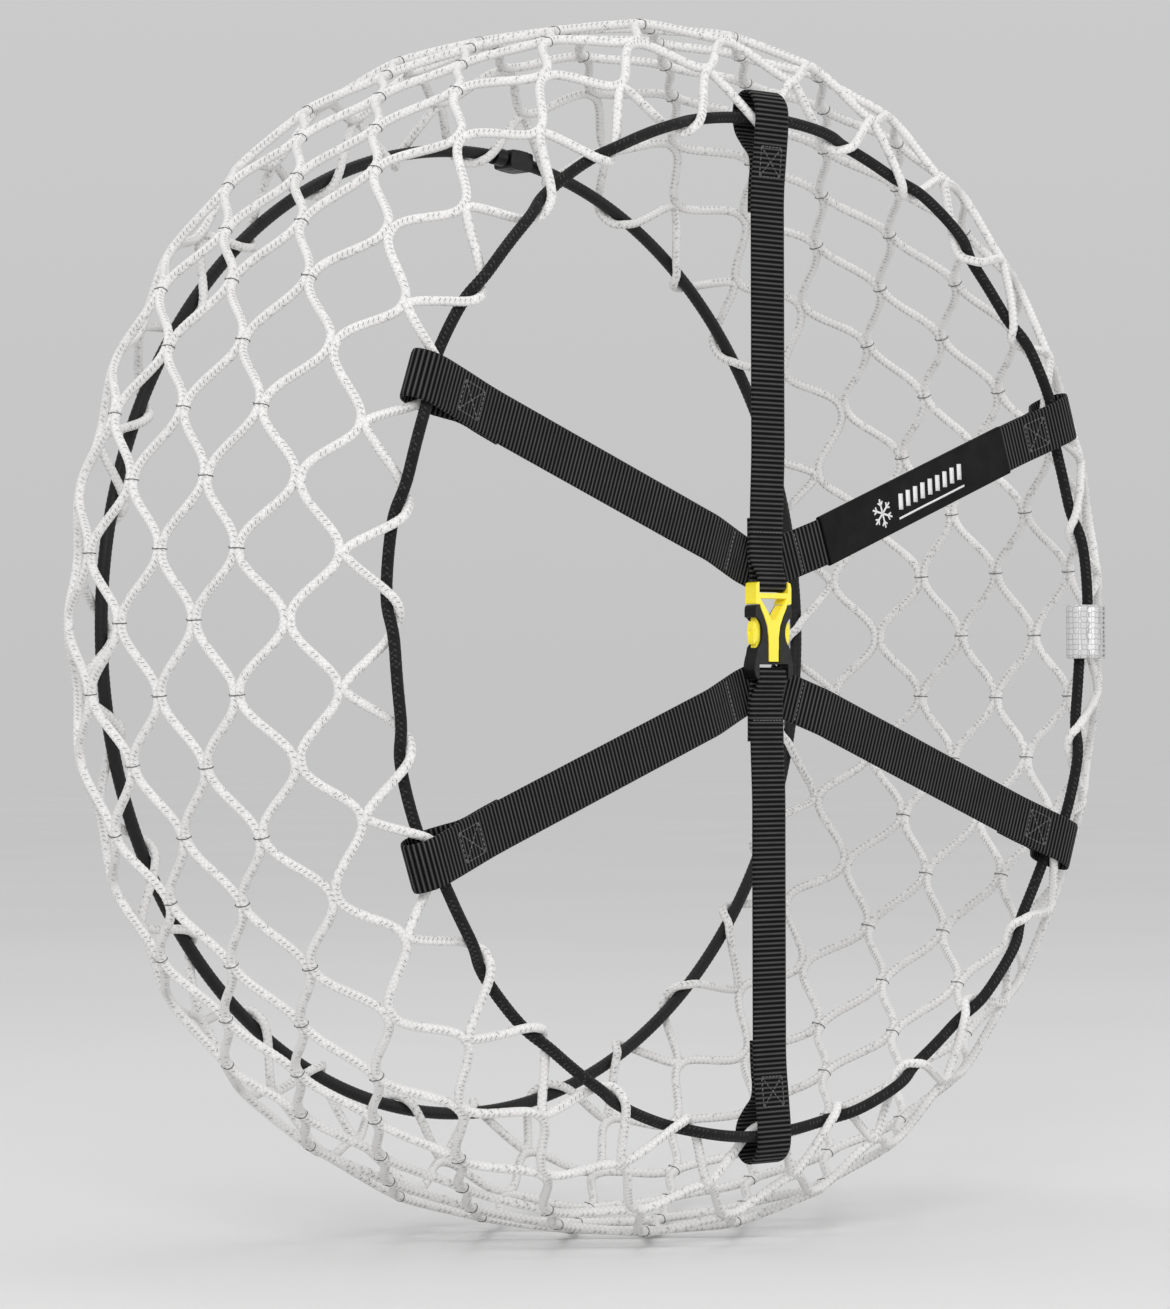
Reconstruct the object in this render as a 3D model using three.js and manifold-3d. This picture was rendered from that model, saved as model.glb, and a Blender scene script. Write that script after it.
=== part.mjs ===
// A rope snow chain in its fitted shape, for a 225/40 R18 tyre, in millimetres.
// Origin at the wheel's centre, +Y towards the car, -Y the outer face with the straps, +Z up.
// A net of ten closed rope loops lies round the tread. Its outer edge is threaded on an elastic ring
// that six webbing straps pull towards a side-release buckle, and its inner edge on a split hoop.
import * as THREE from "three";
import { mergeVertices } from "three/addons/utils/BufferGeometryUtils.js";
import Module from "manifold-3d";

const wasm = await Module();
wasm.setup();

// ---- driving dimensions ----
const MESHES = 28; // rope meshes round the wheel
const PITCH = (2 * Math.PI) / MESHES; // angle from one mesh to the next
const ROPE_R = 2.5;
const ROPE_SIDES = 4;
const GAP = 0.3; // air between pieces that touch
const PAST = 1; // a cutter reaches this far past the surface that it opens
const INTO = 0.5; // shapes that are joined into one piece reach this far into each other
const NODE_FLAT = 4.5; // half the length over which two ropes lie side by side
// Half of the tread's profile, one [distance from the centre plane, radius] for each row of knots.
const HALF_PROFILE = [[0, 321], [28, 320.4], [55.8, 318.8], [82.4, 308.9], [100.1, 290.3]];
const ROWS = [...HALF_PROFILE.slice(1).reverse().map(([y, r]) => [-y, r]), ...HALF_PROFILE];

const RING = { radius: 265.5, y: -109, rope: 3, slack: 0.5, weave: 3.3, perPitch: 6, sides: 5 };
const HOOP = {
  radius: 265.5, y: 109, rope: 3.5, slack: 0.8, bore: 2.5, core: 1.8, steps: 56, sides: 6,
  arc: 28.4, // length that the coupling takes out of the hoop
  coreReach: 3.5, // how far the core stands out of the sleeve at each end
};
const CROSSING = 0.17; // where a rope leg crosses the ring, in pitches from the middle of its loop
const LOOP_SHOULDER = 0.08; // where the loop rounds the ring, in pitches

const WEB = { width: 25, thick: 1.6 };
const NECK = { width: 21.4, below: 6, above: 7 }; // the webbing is narrower where it rounds a bar
const STRAP_Y = -113.3; // middle of the webbing between hub and ring
const STRAP_END = 279.2; // radius of the loop's far end
const SIDE_BACK_Y = -108.1; // the side straps pass behind the buckle here
const HUB = 29.5; // height of the point that the three straps on each side of the buckle run to
const STRAPS = [
  { name: "strap_top", at: 0, side: 1 },
  { name: "strap_upper_right", at: 5, side: 1 },
  { name: "strap_lower_right", at: 9, side: -1 },
  { name: "strap_bottom", at: 14, side: -1 },
  { name: "strap_lower_left", at: -9, side: -1 },
  { name: "strap_upper_left", at: -5, side: 1 },
];

const BUCKLE = { y: -113.3, half: 4, wall: 1.4, top: 11.2, bottom: -28, barR: 1.6 };
const PLUG_BAR_Z = 21.3;
const SOCKET_BAR_Z = -25;
const ARM = { inner: 8.6, outer: 11.2, top: 11.1, tip: -14, half: 2.3 };
const LABEL_AT = 7; // the reflective label hangs on this loop, in pitches
const SLEEVE = { from: 46, to: 203, width: 27, thick: 3.2, bore: [25.8, 2.3] };

// ---- materials ----
const paint = (color, roughness, metalness = 0) =>
  new THREE.MeshStandardMaterial({ color, roughness, metalness });
const ROPE = paint(0xe4e2dc, 0.9);
const BLACK_CORD = paint(0x161617, 0.85);
const BLACK_WEB = paint(0x18181a, 0.8);
const BLACK_PLASTIC = paint(0x232325, 0.45);
const YELLOW_PLASTIC = paint(0xf2e33c, 0.4);
const LABEL_CLOTH = paint(0x1b1b1d, 0.6);
const REFLECTIVE = paint(0xd9dadb, 0.35);
const CONDUIT_PLASTIC = paint(0x1f2022, 0.5);
const STEEL = paint(0xa7abad, 0.3, 1);

// ---- geometry helpers ----
const onWheel = (angle, radius, y) =>
  new THREE.Vector3(radius * Math.sin(angle), y, radius * Math.cos(angle));

// A closed path that a tube follows from corner to corner.
class ClosedPath extends THREE.Curve {
  constructor(points) {
    super();
    this.points = points;
  }
  getPoint(t, target = new THREE.Vector3()) {
    const n = this.points.length;
    const place = (((t % 1) + 1) % 1) * n;
    const i = Math.floor(place + 1e-9);
    return target.lerpVectors(this.points[i % n], this.points[(i + 1) % n], Math.max(0, place - i));
  }
  getPointAt(u, target) {
    return this.getPoint(u, target);
  }
  getTangentAt(u, target = new THREE.Vector3()) {
    const step = 0.25 / this.points.length;
    return target.copy(this.getPoint(u + step)).sub(this.getPoint(u - step)).normalize();
  }
}

const closedRope = (points, radius, sides) =>
  new THREE.TubeGeometry(new ClosedPath(points), points.length, radius, sides, true);

function solidOf(geometry) {
  const bare = geometry.clone();
  bare.deleteAttribute("normal");
  bare.deleteAttribute("uv");
  const merged = mergeVertices(bare, 1e-4);
  return new wasm.Manifold(
    new wasm.Mesh({
      numProp: 3,
      vertProperties: new Float32Array(merged.attributes.position.array),
      triVerts: new Uint32Array(merged.index.array),
    }),
  );
}

function geometryOf(solid) {
  const made = solid.getMesh();
  const geometry = new THREE.BufferGeometry();
  geometry.setAttribute("position", new THREE.BufferAttribute(new Float32Array(made.vertProperties), 3));
  geometry.setIndex(new THREE.BufferAttribute(new Uint32Array(made.triVerts), 1));
  geometry.computeVertexNormals();
  return geometry;
}

const box = (x0, x1, y0, y1, z0, z1) =>
  solidOf(
    new THREE.BoxGeometry(x1 - x0, y1 - y0, z1 - z0)
      .translate((x0 + x1) / 2, (y0 + y1) / 2, (z0 + z1) / 2),
  );

const polygon = (radius, sides) =>
  Array.from({ length: sides }, (_, i) => {
    const turn = (2 * Math.PI * i) / sides;
    return new THREE.Vector2(radius * Math.cos(turn), radius * Math.sin(turn));
  });

// A rod along X, or along Y when it is turned.
const rod = (radius, length, sides, turned = false) => {
  const geometry = new THREE.CylinderGeometry(radius, radius, length, sides);
  return turned ? geometry : geometry.rotateZ(Math.PI / 2);
};

// A plate whose outline is drawn in X and Z, from y0 to y1.
function plate(shape, y0, y1, curveSegments = 5) {
  const depth = y1 - y0;
  const geometry = new THREE.ExtrudeGeometry(shape, { depth, bevelEnabled: false, curveSegments });
  return solidOf(geometry.rotateX(Math.PI / 2).translate(0, y1, 0));
}

// The outline of a band of even thickness along a centre line.
function bandShape(line, thick) {
  const points = line.map(([a, b]) => new THREE.Vector2(a, b));
  const normals = points.map((p, i) => {
    const before = points[Math.max(0, i - 1)];
    const after = points[Math.min(points.length - 1, i + 1)];
    const into = p.clone().sub(before).normalize();
    const out = after.clone().sub(p).normalize();
    const along = into.add(out).normalize();
    const half = i === 0 || i === points.length - 1 ? 1 : 1 / Math.max(0.6, along.dot(out));
    return new THREE.Vector2(-along.y, along.x).multiplyScalar((half * thick) / 2);
  });
  const left = points.map((p, i) => p.clone().add(normals[i]));
  const right = points.map((p, i) => p.clone().sub(normals[i])).reverse();
  return new THREE.Shape([...left, ...right]);
}

const band = (line, thick, width) =>
  new THREE.ExtrudeGeometry(bandShape(line, thick), { depth: width, bevelEnabled: false, steps: 1 })
    .translate(0, 0, -width / 2);

// Points on an arc round (a, b), from one angle to another in degrees.
function arc(a, b, radius, from, to, steps) {
  return Array.from({ length: steps + 1 }, (_, i) => {
    const turn = THREE.MathUtils.degToRad(from + ((to - from) * i) / steps);
    return [a + radius * Math.cos(turn), b + radius * Math.sin(turn)];
  });
}

// ---- the net ----
// Where a rope's middle lies at a knot: its row, moved half a rope towards the inner or outer side.
function knot(row, towards) {
  const [y, radius] = ROWS[row];
  const before = ROWS[Math.max(0, row - 1)];
  const after = ROWS[Math.min(ROWS.length - 1, row + 1)];
  const along = new THREE.Vector2(after[0] - before[0], after[1] - before[1]).normalize();
  const shift = towards * (ROPE_R + GAP / 2);
  return { y: y + shift * along.x, radius: radius + shift * along.y };
}

// Odd rows of knots lie half a pitch from the even ones.
const rowAngle = (row, step) => (step + (row % 2 === 0 ? 0.5 : 0)) * PITCH;

function netRope(row) {
  const points = [];
  const rowFirst = row % 2 === 0;
  for (let step = 0; step < MESHES; step += 1) {
    const near = [row, 1, rowAngle(row, rowFirst ? step - 1 : step)];
    const far = [row + 1, -1, rowAngle(row + 1, step)];
    for (const [at, towards, angle] of [near, far]) {
      const { y, radius } = knot(at, towards);
      const flat = NODE_FLAT / radius;
      points.push(onWheel(angle - flat, radius, y), onWheel(angle + flat, radius, y));
    }
  }
  return closedRope(points, ROPE_R, ROPE_SIDES);
}

// The elastic ring bends away from each rope leg that crosses it.
const ringWeave = (pitches) => Math.tanh(2.2 * Math.sin(Math.PI * pitches));

// How a loop lies round the ring: [pitches from its middle, angle round the ring's line].
const LOOP_ROUND = [
  [-CROSSING, Math.PI / 2], [-LOOP_SHOULDER, 0.27 * Math.PI], [0, 0],
  [LOOP_SHOULDER, 0.27 * Math.PI], [CROSSING, Math.PI / 2],
];

// The edge rope runs from knot to knot and round the inner side of the ring or hoop between them.
function edgeRope(row, towards, ring, woven) {
  const side = Math.sign(ring.y);
  const clear = ring.rope + GAP + ring.slack + ROPE_R;
  const { y, radius } = knot(row, towards);
  const flat = NODE_FLAT / radius / PITCH;
  const points = [];
  for (let loop = 0; loop < MESHES; loop += 1) {
    points.push(onWheel((loop - 0.5 + flat) * PITCH, radius, y));
    for (const [offset, turn] of LOOP_ROUND) {
      const pitches = loop + offset;
      const ringY = ring.y + (woven ? ring.weave * ringWeave(pitches) * side : 0);
      const over = side * Math.sign(offset) * (loop % 2 === 0 ? -1 : 1);
      const across = ring.radius - clear * Math.cos(turn);
      points.push(onWheel(pitches * PITCH, across, ringY + over * clear * Math.sin(turn)));
    }
    points.push(onWheel((loop + 0.5 - flat) * PITCH, radius, y));
  }
  return closedRope(points, ROPE_R, ROPE_SIDES);
}

function elasticRing() {
  const count = MESHES * RING.perPitch;
  const points = Array.from({ length: count }, (_, i) => {
    const pitches = i / RING.perPitch;
    return onWheel(pitches * PITCH, RING.radius, RING.y - RING.weave * ringWeave(pitches));
  });
  return closedRope(points, RING.rope, RING.sides);
}

// ---- the hoop on the inner side, open at its coupling ----
const HOOP_JOIN = 0.5 * PITCH; // the coupling lies midway between two rope loops

// A tube along the hoop's line, which stops at an angle of halfGap on each side of the coupling.
function hoopTube(radius, bore, halfGap) {
  const { steps, sides } = HOOP;
  const extrudePath = new THREE.CatmullRomCurve3(
    Array.from({ length: steps + 1 }, (_, i) => {
      const turn = halfGap + ((2 * Math.PI - 2 * halfGap) * i) / steps;
      return onWheel(HOOP_JOIN + turn, HOOP.radius, HOOP.y);
    }),
  );
  const section = new THREE.Shape(polygon(radius, sides));
  if (bore) section.holes.push(new THREE.Path(polygon(bore, sides).reverse()));
  return new THREE.ExtrudeGeometry(section, { steps, extrudePath, bevelEnabled: false });
}

const COUPLING = {
  span: 27, length: 17, half: 5.5, corner: 1.5, yLow: 104.2, yHigh: 118, bore: 2.9, pin: 2.5, pinLength: 13,
};
const COLLAR = { radius: 5, length: 7.6 };
const BUTTON = { radius: 3.4, well: 3.7, wellDepth: 6, height: 4.2, stand: 1.6, offset: 2, hollow: 1.4 };
const SPRING = { radius: 2.4, wire: 0.35, turns: 3, perTurn: 8 };

// The coupling is drawn with +X along the hoop and +Z outwards, its middle on the hoop's line.
function couplingSocket() {
  const { length, half, corner, yLow, yHigh, bore } = COUPLING;
  const body = new THREE.Shape();
  body.moveTo(-length / 2, -half + corner);
  body.lineTo(-length / 2 + corner, -half);
  body.lineTo(length / 2 - corner, -half);
  body.lineTo(length / 2, -half + corner);
  body.lineTo(length / 2, half - corner);
  body.lineTo(length / 2 - corner, half);
  body.lineTo(-length / 2 + corner, half);
  body.lineTo(-length / 2, half - corner);
  const well = rod(BUTTON.well, BUTTON.wellDepth + PAST, 14, true)
    .translate(BUTTON.offset, yHigh - HOOP.y + (PAST - BUTTON.wellDepth) / 2, 0);
  return plate(body, yLow - HOOP.y, yHigh - HOOP.y)
    .subtract(solidOf(rod(bore, length + 2 * PAST, 12)))
    .subtract(solidOf(well));
}

function couplingPlug() {
  const face = COLLAR.length / 2;
  const collar = rod(COLLAR.radius, COLLAR.length, 14);
  const pin = rod(COUPLING.pin, COUPLING.pinLength + INTO, 10)
    .translate(face + (COUPLING.pinLength - INTO) / 2, 0, 0);
  const seat = rod(HOOP.core + 3 * GAP, COLLAR.length, 10).translate(-face - INTO, 0, 0);
  return solidOf(collar).add(solidOf(pin)).subtract(solidOf(seat));
}

function releaseButton() {
  const { radius, height, hollow } = BUTTON;
  const cap = rod(radius, height, 14, true);
  const seat = rod(SPRING.radius + SPRING.wire + GAP, hollow + PAST, 12, true)
    .translate(0, (hollow - PAST - height) / 2, 0);
  return solidOf(cap).subtract(solidOf(seat));
}

function buttonSpring(height) {
  const steps = SPRING.turns * SPRING.perTurn;
  const points = Array.from({ length: steps + 1 }, (_, i) => {
    const turn = (2 * Math.PI * i) / SPRING.perTurn;
    const [x, z] = [SPRING.radius * Math.cos(turn), SPRING.radius * Math.sin(turn)];
    return new THREE.Vector3(x, (height * i) / steps, z);
  });
  const extrudePath = new THREE.CatmullRomCurve3(points);
  const section = new THREE.Shape(polygon(SPRING.wire, 4));
  return new THREE.ExtrudeGeometry(section, { steps, extrudePath, bevelEnabled: false });
}

// ---- straps ----
// The stretch of a strap that is folded round the ring, as [distance from the far end, y].
const RING_LOOP = [
  [60, STRAP_Y], [48, STRAP_Y - 0.5], [34, -115.2], [21, -116.4], [13.5, -116.8], [6.5, -115.8],
  [1.8, -112.6], [0, -109], [1.8, -104.6], [6.5, -101.3], [13.5, -100.6], [21, -102.1],
  [28, -106.8], [34, -111.6], [40, -112.6], [48, -111.8], [57, -111.3], [63.8, -111.2],
];

// The hub end of the top and bottom straps, folded round a buckle bar, as [distance from centre, y].
function barFold(barZ) {
  const fold = BUCKLE.barR + GAP + 0.1 + WEB.thick / 2;
  const back = BUCKLE.y + 3;
  return [
    [barZ + 35, back], [barZ + 10, back], [barZ + 4, back + 0.1],
    ...arc(barZ, BUCKLE.y, fold, 80, 270, 6),
    [barZ + 4, BUCKLE.y - fold + 0.3], [barZ + 12, back - 1.9], [barZ + 35, back - 1.9], [90, STRAP_Y],
  ];
}

const SIDE_HUB = [[5, SIDE_BACK_Y], [16.5, SIDE_BACK_Y], [45.5, STRAP_Y]];

function strapFrame({ at, side }) {
  const straight = at === 0 || at === MESHES / 2;
  const hub = new THREE.Vector3(0, 0, straight ? 0 : HUB * side);
  const end = onWheel(at * PITCH, STRAP_END, 0);
  const along = end.clone().sub(hub);
  return { straight, hub, length: along.length(), turn: Math.atan2(-along.z, along.x) };
}

function strapGeometry(strap) {
  const { straight, length } = strapFrame(strap);
  const barZ = strap.side > 0 ? PLUG_BAR_Z : -SOCKET_BAR_Z;
  const hubEnd = straight ? barFold(barZ) : SIDE_HUB;
  const line = [...hubEnd, ...RING_LOOP.map(([fromEnd, y]) => [length - fromEnd, y])];
  const web = band(line, WEB.thick, WEB.width);
  if (!straight) return web;
  const neck = (edge) => {
    const inner = (edge * NECK.width) / 2;
    const outer = edge * WEB.width;
    const [low, high] = [Math.min(inner, outer), Math.max(inner, outer)];
    const [from, to] = [barZ - NECK.below, barZ + NECK.above];
    return box(from, to, BUCKLE.y - WEB.width, BUCKLE.y + WEB.width, low, high);
  };
  return geometryOf(solidOf(web).subtract(neck(1)).subtract(neck(-1)));
}

function labelSleeve() {
  const rectangle = (width, thick) => {
    const corners = [[-1, -1], [1, -1], [1, 1], [-1, 1]];
    return corners.map(([a, b]) => new THREE.Vector2((a * thick) / 2, (b * width) / 2));
  };
  const section = new THREE.Shape(rectangle(SLEEVE.width, SLEEVE.thick));
  const [boreWidth, boreThick] = SLEEVE.bore;
  section.holes.push(new THREE.Path(rectangle(boreWidth, boreThick).reverse()));
  const depth = SLEEVE.to - SLEEVE.from;
  return new THREE.ExtrudeGeometry(section, { depth, bevelEnabled: false })
    .rotateZ(Math.PI / 2)
    .rotateY(Math.PI / 2)
    .translate(SLEEVE.from, STRAP_Y, 0);
}

// A folded strip round the ring and the rope loop on it, as [radius, y].
const REFLECTIVE_LINE = [
  [283, -109.7], [277, -112.6], [270, -116.1], [262, -116.5], [257.3, -114.6], [255, -111.2],
  [255, -106.8], [257.3, -103.4], [262, -100.9], [270, -100.2], [277, -102.5], [283, -108.3],
];

// ---- buckle ----
// Half outlines are drawn down the right side; the left side mirrors them.
function mirrored(half) {
  const right = half.map(([x, z]) => new THREE.Vector2(x, z));
  const left = half.filter(([x]) => x > 0).map(([x, z]) => new THREE.Vector2(-x, z)).reverse();
  return new THREE.Shape([...right, ...left]);
}

const SOCKET_OUTLINE = [
  [12.6, BUCKLE.top], [14, 10.1], [14.2, 4.8], [13.1, 1], [12.2, -4], [12.1, -9], [12.6, -13],
  [14.2, -17.5], [15, -20.5], [14.9, -23.5], [13.9, -26.4], [12, BUCKLE.bottom],
];
// The opening in the front wall that the stem fills: wide at the top, then an even slot.
const FRONT_SLOT = [[11, 12], [10.2, 9.6], [7.6, 5], [5.3, 0], [4.3, -6], [4, -18.9]];
const BACK_NOTCH = [[9.5, 12], [8.8, 11], [3.4, 4.6]]; // keeps the view through the V clear
const STEM_FACE = [[10.6, 12], [9.8, 9.5], [7.2, 5], [4.9, 0], [3.9, -6], [3.6, -18.5]];
const STEM_CORE = [[7.5, 12], [7.5, 8], [7, 5], [4.8, 0], [3.8, -6], [3.5, -18.5]];
const STEM_BACK = 2.2; // how far back the stem's core reaches
const YOKE = [[11.2, 23], [13, 22.4], [13.6, 20], [13.6, 12.4], [13, 11.6], [11.3, 11.5]];
const V_OPENING = [[10.1, 14.4], [8.6, 12.4], [5.2, 8.6], [1.6, 3.4]];
const SLOT_X = 11; // half the width of the openings that the webbing passes through
const PLUG_SLOT = 4; // how far the plug's opening reaches above and below its bar
const SOCKET_SLOT = 1; // plastic between the socket's cavity and the opening for the webbing
const CAVITY = { x: 11.6, bottom: -18.9 };
// The side windows that the pads stand in: an oval bite out of the front and back walls, and a slot
// between them that lets a pad swing in.
const WINDOW = { x: 15.2, z: -3.6, rx: 6.4, rz: 8.4, slotTop: 4.4, slotBottom: -11.3 };
const PAD = [
  [11, 0.8], [11.9, 1.7], [12.6, 3], [13.6, 1.1], [14, -3.5], [13.6, -8.1], [12.6, -9.9],
  [11.9, -8.6], [11, -7.7],
];

function buckleSocket() {
  const { half, wall, top, bottom, barR } = BUCKLE;
  const [front, back] = [-half - PAST, half + PAST];
  const hollow = half - wall;
  const window = (side) => {
    const shape = new THREE.Shape();
    shape.absellipse(side * WINDOW.x, WINDOW.z, WINDOW.rx, WINDOW.rz, 0, 2 * Math.PI);
    return plate(shape, front, back, 7);
  };
  const swing = box(-WINDOW.x, WINDOW.x, -hollow, hollow, WINDOW.slotBottom, WINDOW.slotTop);
  const barTop = SOCKET_BAR_Z + barR;
  return plate(mirrored(SOCKET_OUTLINE), -half, half)
    .subtract(box(-CAVITY.x, CAVITY.x, -hollow, hollow, CAVITY.bottom, top + PAST))
    .subtract(plate(mirrored(FRONT_SLOT), front, 0))
    .subtract(plate(mirrored(BACK_NOTCH), 0, back))
    .subtract(window(1))
    .subtract(window(-1))
    .subtract(swing)
    .subtract(box(-SLOT_X, SLOT_X, front, back, barTop, CAVITY.bottom - SOCKET_SLOT))
    .subtract(box(-SLOT_X, SLOT_X, front, back, bottom - PAST, barTop + INTO))
    .add(solidOf(rod(barR, 2 * (SLOT_X + INTO), 10).translate(0, 0, SOCKET_BAR_Z)));
}

function bucklePlug() {
  const { half, barR, wall } = BUCKLE;
  const [front, back] = [-half - PAST, half + PAST];
  const face = plate(mirrored(STEM_FACE), -half, wall - half);
  const core = plate(mirrored(STEM_CORE), -half, STEM_BACK);
  return plate(mirrored(YOKE), -half, half)
    .add(face)
    .add(core)
    .subtract(box(-SLOT_X, SLOT_X, front, back, PLUG_BAR_Z - PLUG_SLOT, PLUG_BAR_Z + PLUG_SLOT))
    .subtract(plate(mirrored(V_OPENING), front, back))
    .add(solidOf(rod(barR, 2 * (SLOT_X + INTO), 10).translate(0, 0, PLUG_BAR_Z)));
}

function plugArm(side) {
  const { inner, outer, top, tip, half } = ARM;
  const x = (value) => side * value;
  const blade = new THREE.Shape();
  blade.moveTo(x(inner), top);
  blade.lineTo(x(outer), top);
  blade.lineTo(x(outer), tip + 2);
  blade.lineTo(x(inner + 1), tip);
  blade.lineTo(x(inner), tip + 1.5);
  const pad = new THREE.Shape(PAD.map(([a, z]) => new THREE.Vector2(x(a), z)));
  return plate(blade, -half, half).add(plate(pad, -half, half));
}

// ---- assembly ----
const root = new THREE.Group();

function add(parent, name, geometry, material) {
  const mesh = new THREE.Mesh(geometry, material.clone());
  mesh.name = name;
  parent.add(mesh);
  return mesh;
}

function addNet() {
  for (let row = 0; row < ROWS.length - 1; row += 1) {
    add(root, `net_rope_${row + 1}`, netRope(row), ROPE);
  }
  add(root, "outer_edge_rope", edgeRope(0, -1, RING, true), ROPE);
  add(root, "inner_edge_rope", edgeRope(ROWS.length - 1, 1, HOOP, false), ROPE);
  add(root, "elastic_ring", elasticRing(), BLACK_CORD);
}

function addHoop() {
  const halfGap = HOOP.arc / 2 / HOOP.radius;
  const coreReach = HOOP.coreReach / HOOP.radius;
  add(root, "hoop_sleeve", hoopTube(HOOP.rope, HOOP.bore, halfGap), CONDUIT_PLASTIC);
  add(root, "hoop_core", hoopTube(HOOP.core, 0, halfGap - coreReach), STEEL);
  const coupling = new THREE.Group();
  coupling.position.copy(onWheel(HOOP_JOIN, HOOP.radius, HOOP.y));
  coupling.rotation.y = HOOP_JOIN;
  root.add(coupling);
  const socketX = COUPLING.span / 2 - COUPLING.length / 2;
  const socket = add(coupling, "hoop_socket", geometryOf(couplingSocket()), BLACK_PLASTIC);
  socket.position.x = socketX;
  const plug = add(coupling, "hoop_plug", geometryOf(couplingPlug()), BLACK_PLASTIC);
  plug.position.x = (COLLAR.length - COUPLING.span) / 2;
  const button = add(coupling, "hoop_button", geometryOf(releaseButton()), YELLOW_PLASTIC);
  const top = COUPLING.yHigh - HOOP.y;
  button.position.set(socketX + BUTTON.offset, top + BUTTON.stand - BUTTON.height / 2, 0);
  const clearance = SPRING.wire + GAP;
  const springLow = top - BUTTON.wellDepth + clearance;
  const springHigh = top + BUTTON.stand - BUTTON.height + BUTTON.hollow - clearance;
  const spring = add(coupling, "hoop_button_spring", buttonSpring(springHigh - springLow), STEEL);
  spring.position.set(socketX + BUTTON.offset, springLow, 0);
}

function addStraps() {
  for (const strap of STRAPS) {
    const { hub, turn } = strapFrame(strap);
    const place = new THREE.Group();
    place.position.copy(hub);
    place.rotation.y = turn;
    root.add(place);
    add(place, strap.name, strapGeometry(strap), BLACK_WEB);
    if (strap.name === "strap_upper_right") add(place, "label_sleeve", labelSleeve(), LABEL_CLOTH);
  }
}

function addReflectiveLabel() {
  const label = add(root, "reflective_label", band(REFLECTIVE_LINE, 0.8, 30), REFLECTIVE);
  label.rotation.y = LABEL_AT * PITCH - Math.PI / 2;
}

function addBuckle() {
  const buckle = new THREE.Group();
  buckle.position.y = BUCKLE.y;
  root.add(buckle);
  add(buckle, "buckle_socket", geometryOf(buckleSocket()), BLACK_PLASTIC);
  add(buckle, "buckle_plug", geometryOf(bucklePlug()), YELLOW_PLASTIC);
  add(buckle, "plug_arm_left", geometryOf(plugArm(-1)), YELLOW_PLASTIC);
  add(buckle, "plug_arm_right", geometryOf(plugArm(1)), YELLOW_PLASTIC);
}

addNet();
addHoop();
addStraps();
addReflectiveLabel();
addBuckle();

export default root;
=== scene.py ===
"""A rope snow chain in its fitted shape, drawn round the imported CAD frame.

The origin is the wheel's centre, +Y points towards the car and -Y is the outer face, with +Z up.
Lengths are in millimetres until a mesh is made, and in metres after that.
"""

import math

import bpy
import numpy as np
from mathutils import Matrix, Vector


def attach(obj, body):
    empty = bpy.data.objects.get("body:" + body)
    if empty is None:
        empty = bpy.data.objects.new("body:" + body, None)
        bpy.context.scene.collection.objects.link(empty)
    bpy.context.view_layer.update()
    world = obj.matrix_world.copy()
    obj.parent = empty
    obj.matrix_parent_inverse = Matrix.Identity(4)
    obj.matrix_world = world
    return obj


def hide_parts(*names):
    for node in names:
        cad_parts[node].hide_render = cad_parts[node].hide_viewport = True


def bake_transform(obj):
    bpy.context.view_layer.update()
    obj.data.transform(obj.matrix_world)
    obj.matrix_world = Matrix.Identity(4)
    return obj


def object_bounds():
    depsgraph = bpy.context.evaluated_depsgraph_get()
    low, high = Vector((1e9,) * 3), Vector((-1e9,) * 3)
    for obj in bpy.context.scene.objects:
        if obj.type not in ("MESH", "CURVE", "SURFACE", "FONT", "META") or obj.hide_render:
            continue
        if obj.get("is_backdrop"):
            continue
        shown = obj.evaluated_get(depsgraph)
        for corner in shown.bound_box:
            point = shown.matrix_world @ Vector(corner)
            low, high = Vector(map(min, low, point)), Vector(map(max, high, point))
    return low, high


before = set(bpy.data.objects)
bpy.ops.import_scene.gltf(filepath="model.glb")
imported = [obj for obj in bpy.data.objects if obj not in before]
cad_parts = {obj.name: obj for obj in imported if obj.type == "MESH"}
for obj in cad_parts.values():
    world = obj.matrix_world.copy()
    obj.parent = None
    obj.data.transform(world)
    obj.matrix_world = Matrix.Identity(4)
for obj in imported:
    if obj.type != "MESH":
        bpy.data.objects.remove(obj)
CAD_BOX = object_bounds()
MM = 0.001
RANDOM = np.random.default_rng(28)

# ---- the chain's driving dimensions ----
# Most are the CAD's. Those of the rope's look, knots, clips and woven edge are only in this script.
MESHES = 28
PITCH = 2 * math.pi / MESHES
ROPE_R = 2.5
ROPE_LOOK = 2.4  # radius of the braid that stands for the rope
GAP = 0.3  # air between pieces that touch
KNOT_FLAT = 1.4  # half the length over which a knot holds its two ropes side by side
KNOT_HALF = 1.6  # half the distance between the middles of the two ropes that a knot presses together
# Half of the tread's profile: distance from the centre plane, and radius, of each row of knots.
HALF_PROFILE = [(0, 321), (28, 320.4), (55.8, 318.8), (82.4, 308.9), (100.1, 290.3)]
ROWS = [(-y, radius) for y, radius in reversed(HALF_PROFILE[1:])] + HALF_PROFILE
CLIPPED_ROWS = range(2, 7)  # the rows whose knots are held by a wire clip
# A clip overlaps itself by a share of a half turn at each end, and bends out there.
CLIP = {"wire": 0.28, "overlap": 0.3, "bend": 0.4, "rise": 0.4}
KNOT_SHIFT = (0.7, 0.6)  # how far a knot lies from its ideal place, along the wheel and across it

RING_RADIUS = 265.5
RING = {"y": -109.0, "rope": 3.0, "weave": 3.3}
HOOP = {"y": 109.0, "rope": 3.5, "weave": 0.0, "bore": 2.5, "core": 1.8, "arc": 28.4, "core_reach": 3.5}
CROSSING = 0.17  # where a rope leg crosses the ring, in pitches from the middle of its loop
LOOP_SHOULDER = 0.08  # where the loop rounds the ring, in pitches

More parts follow.
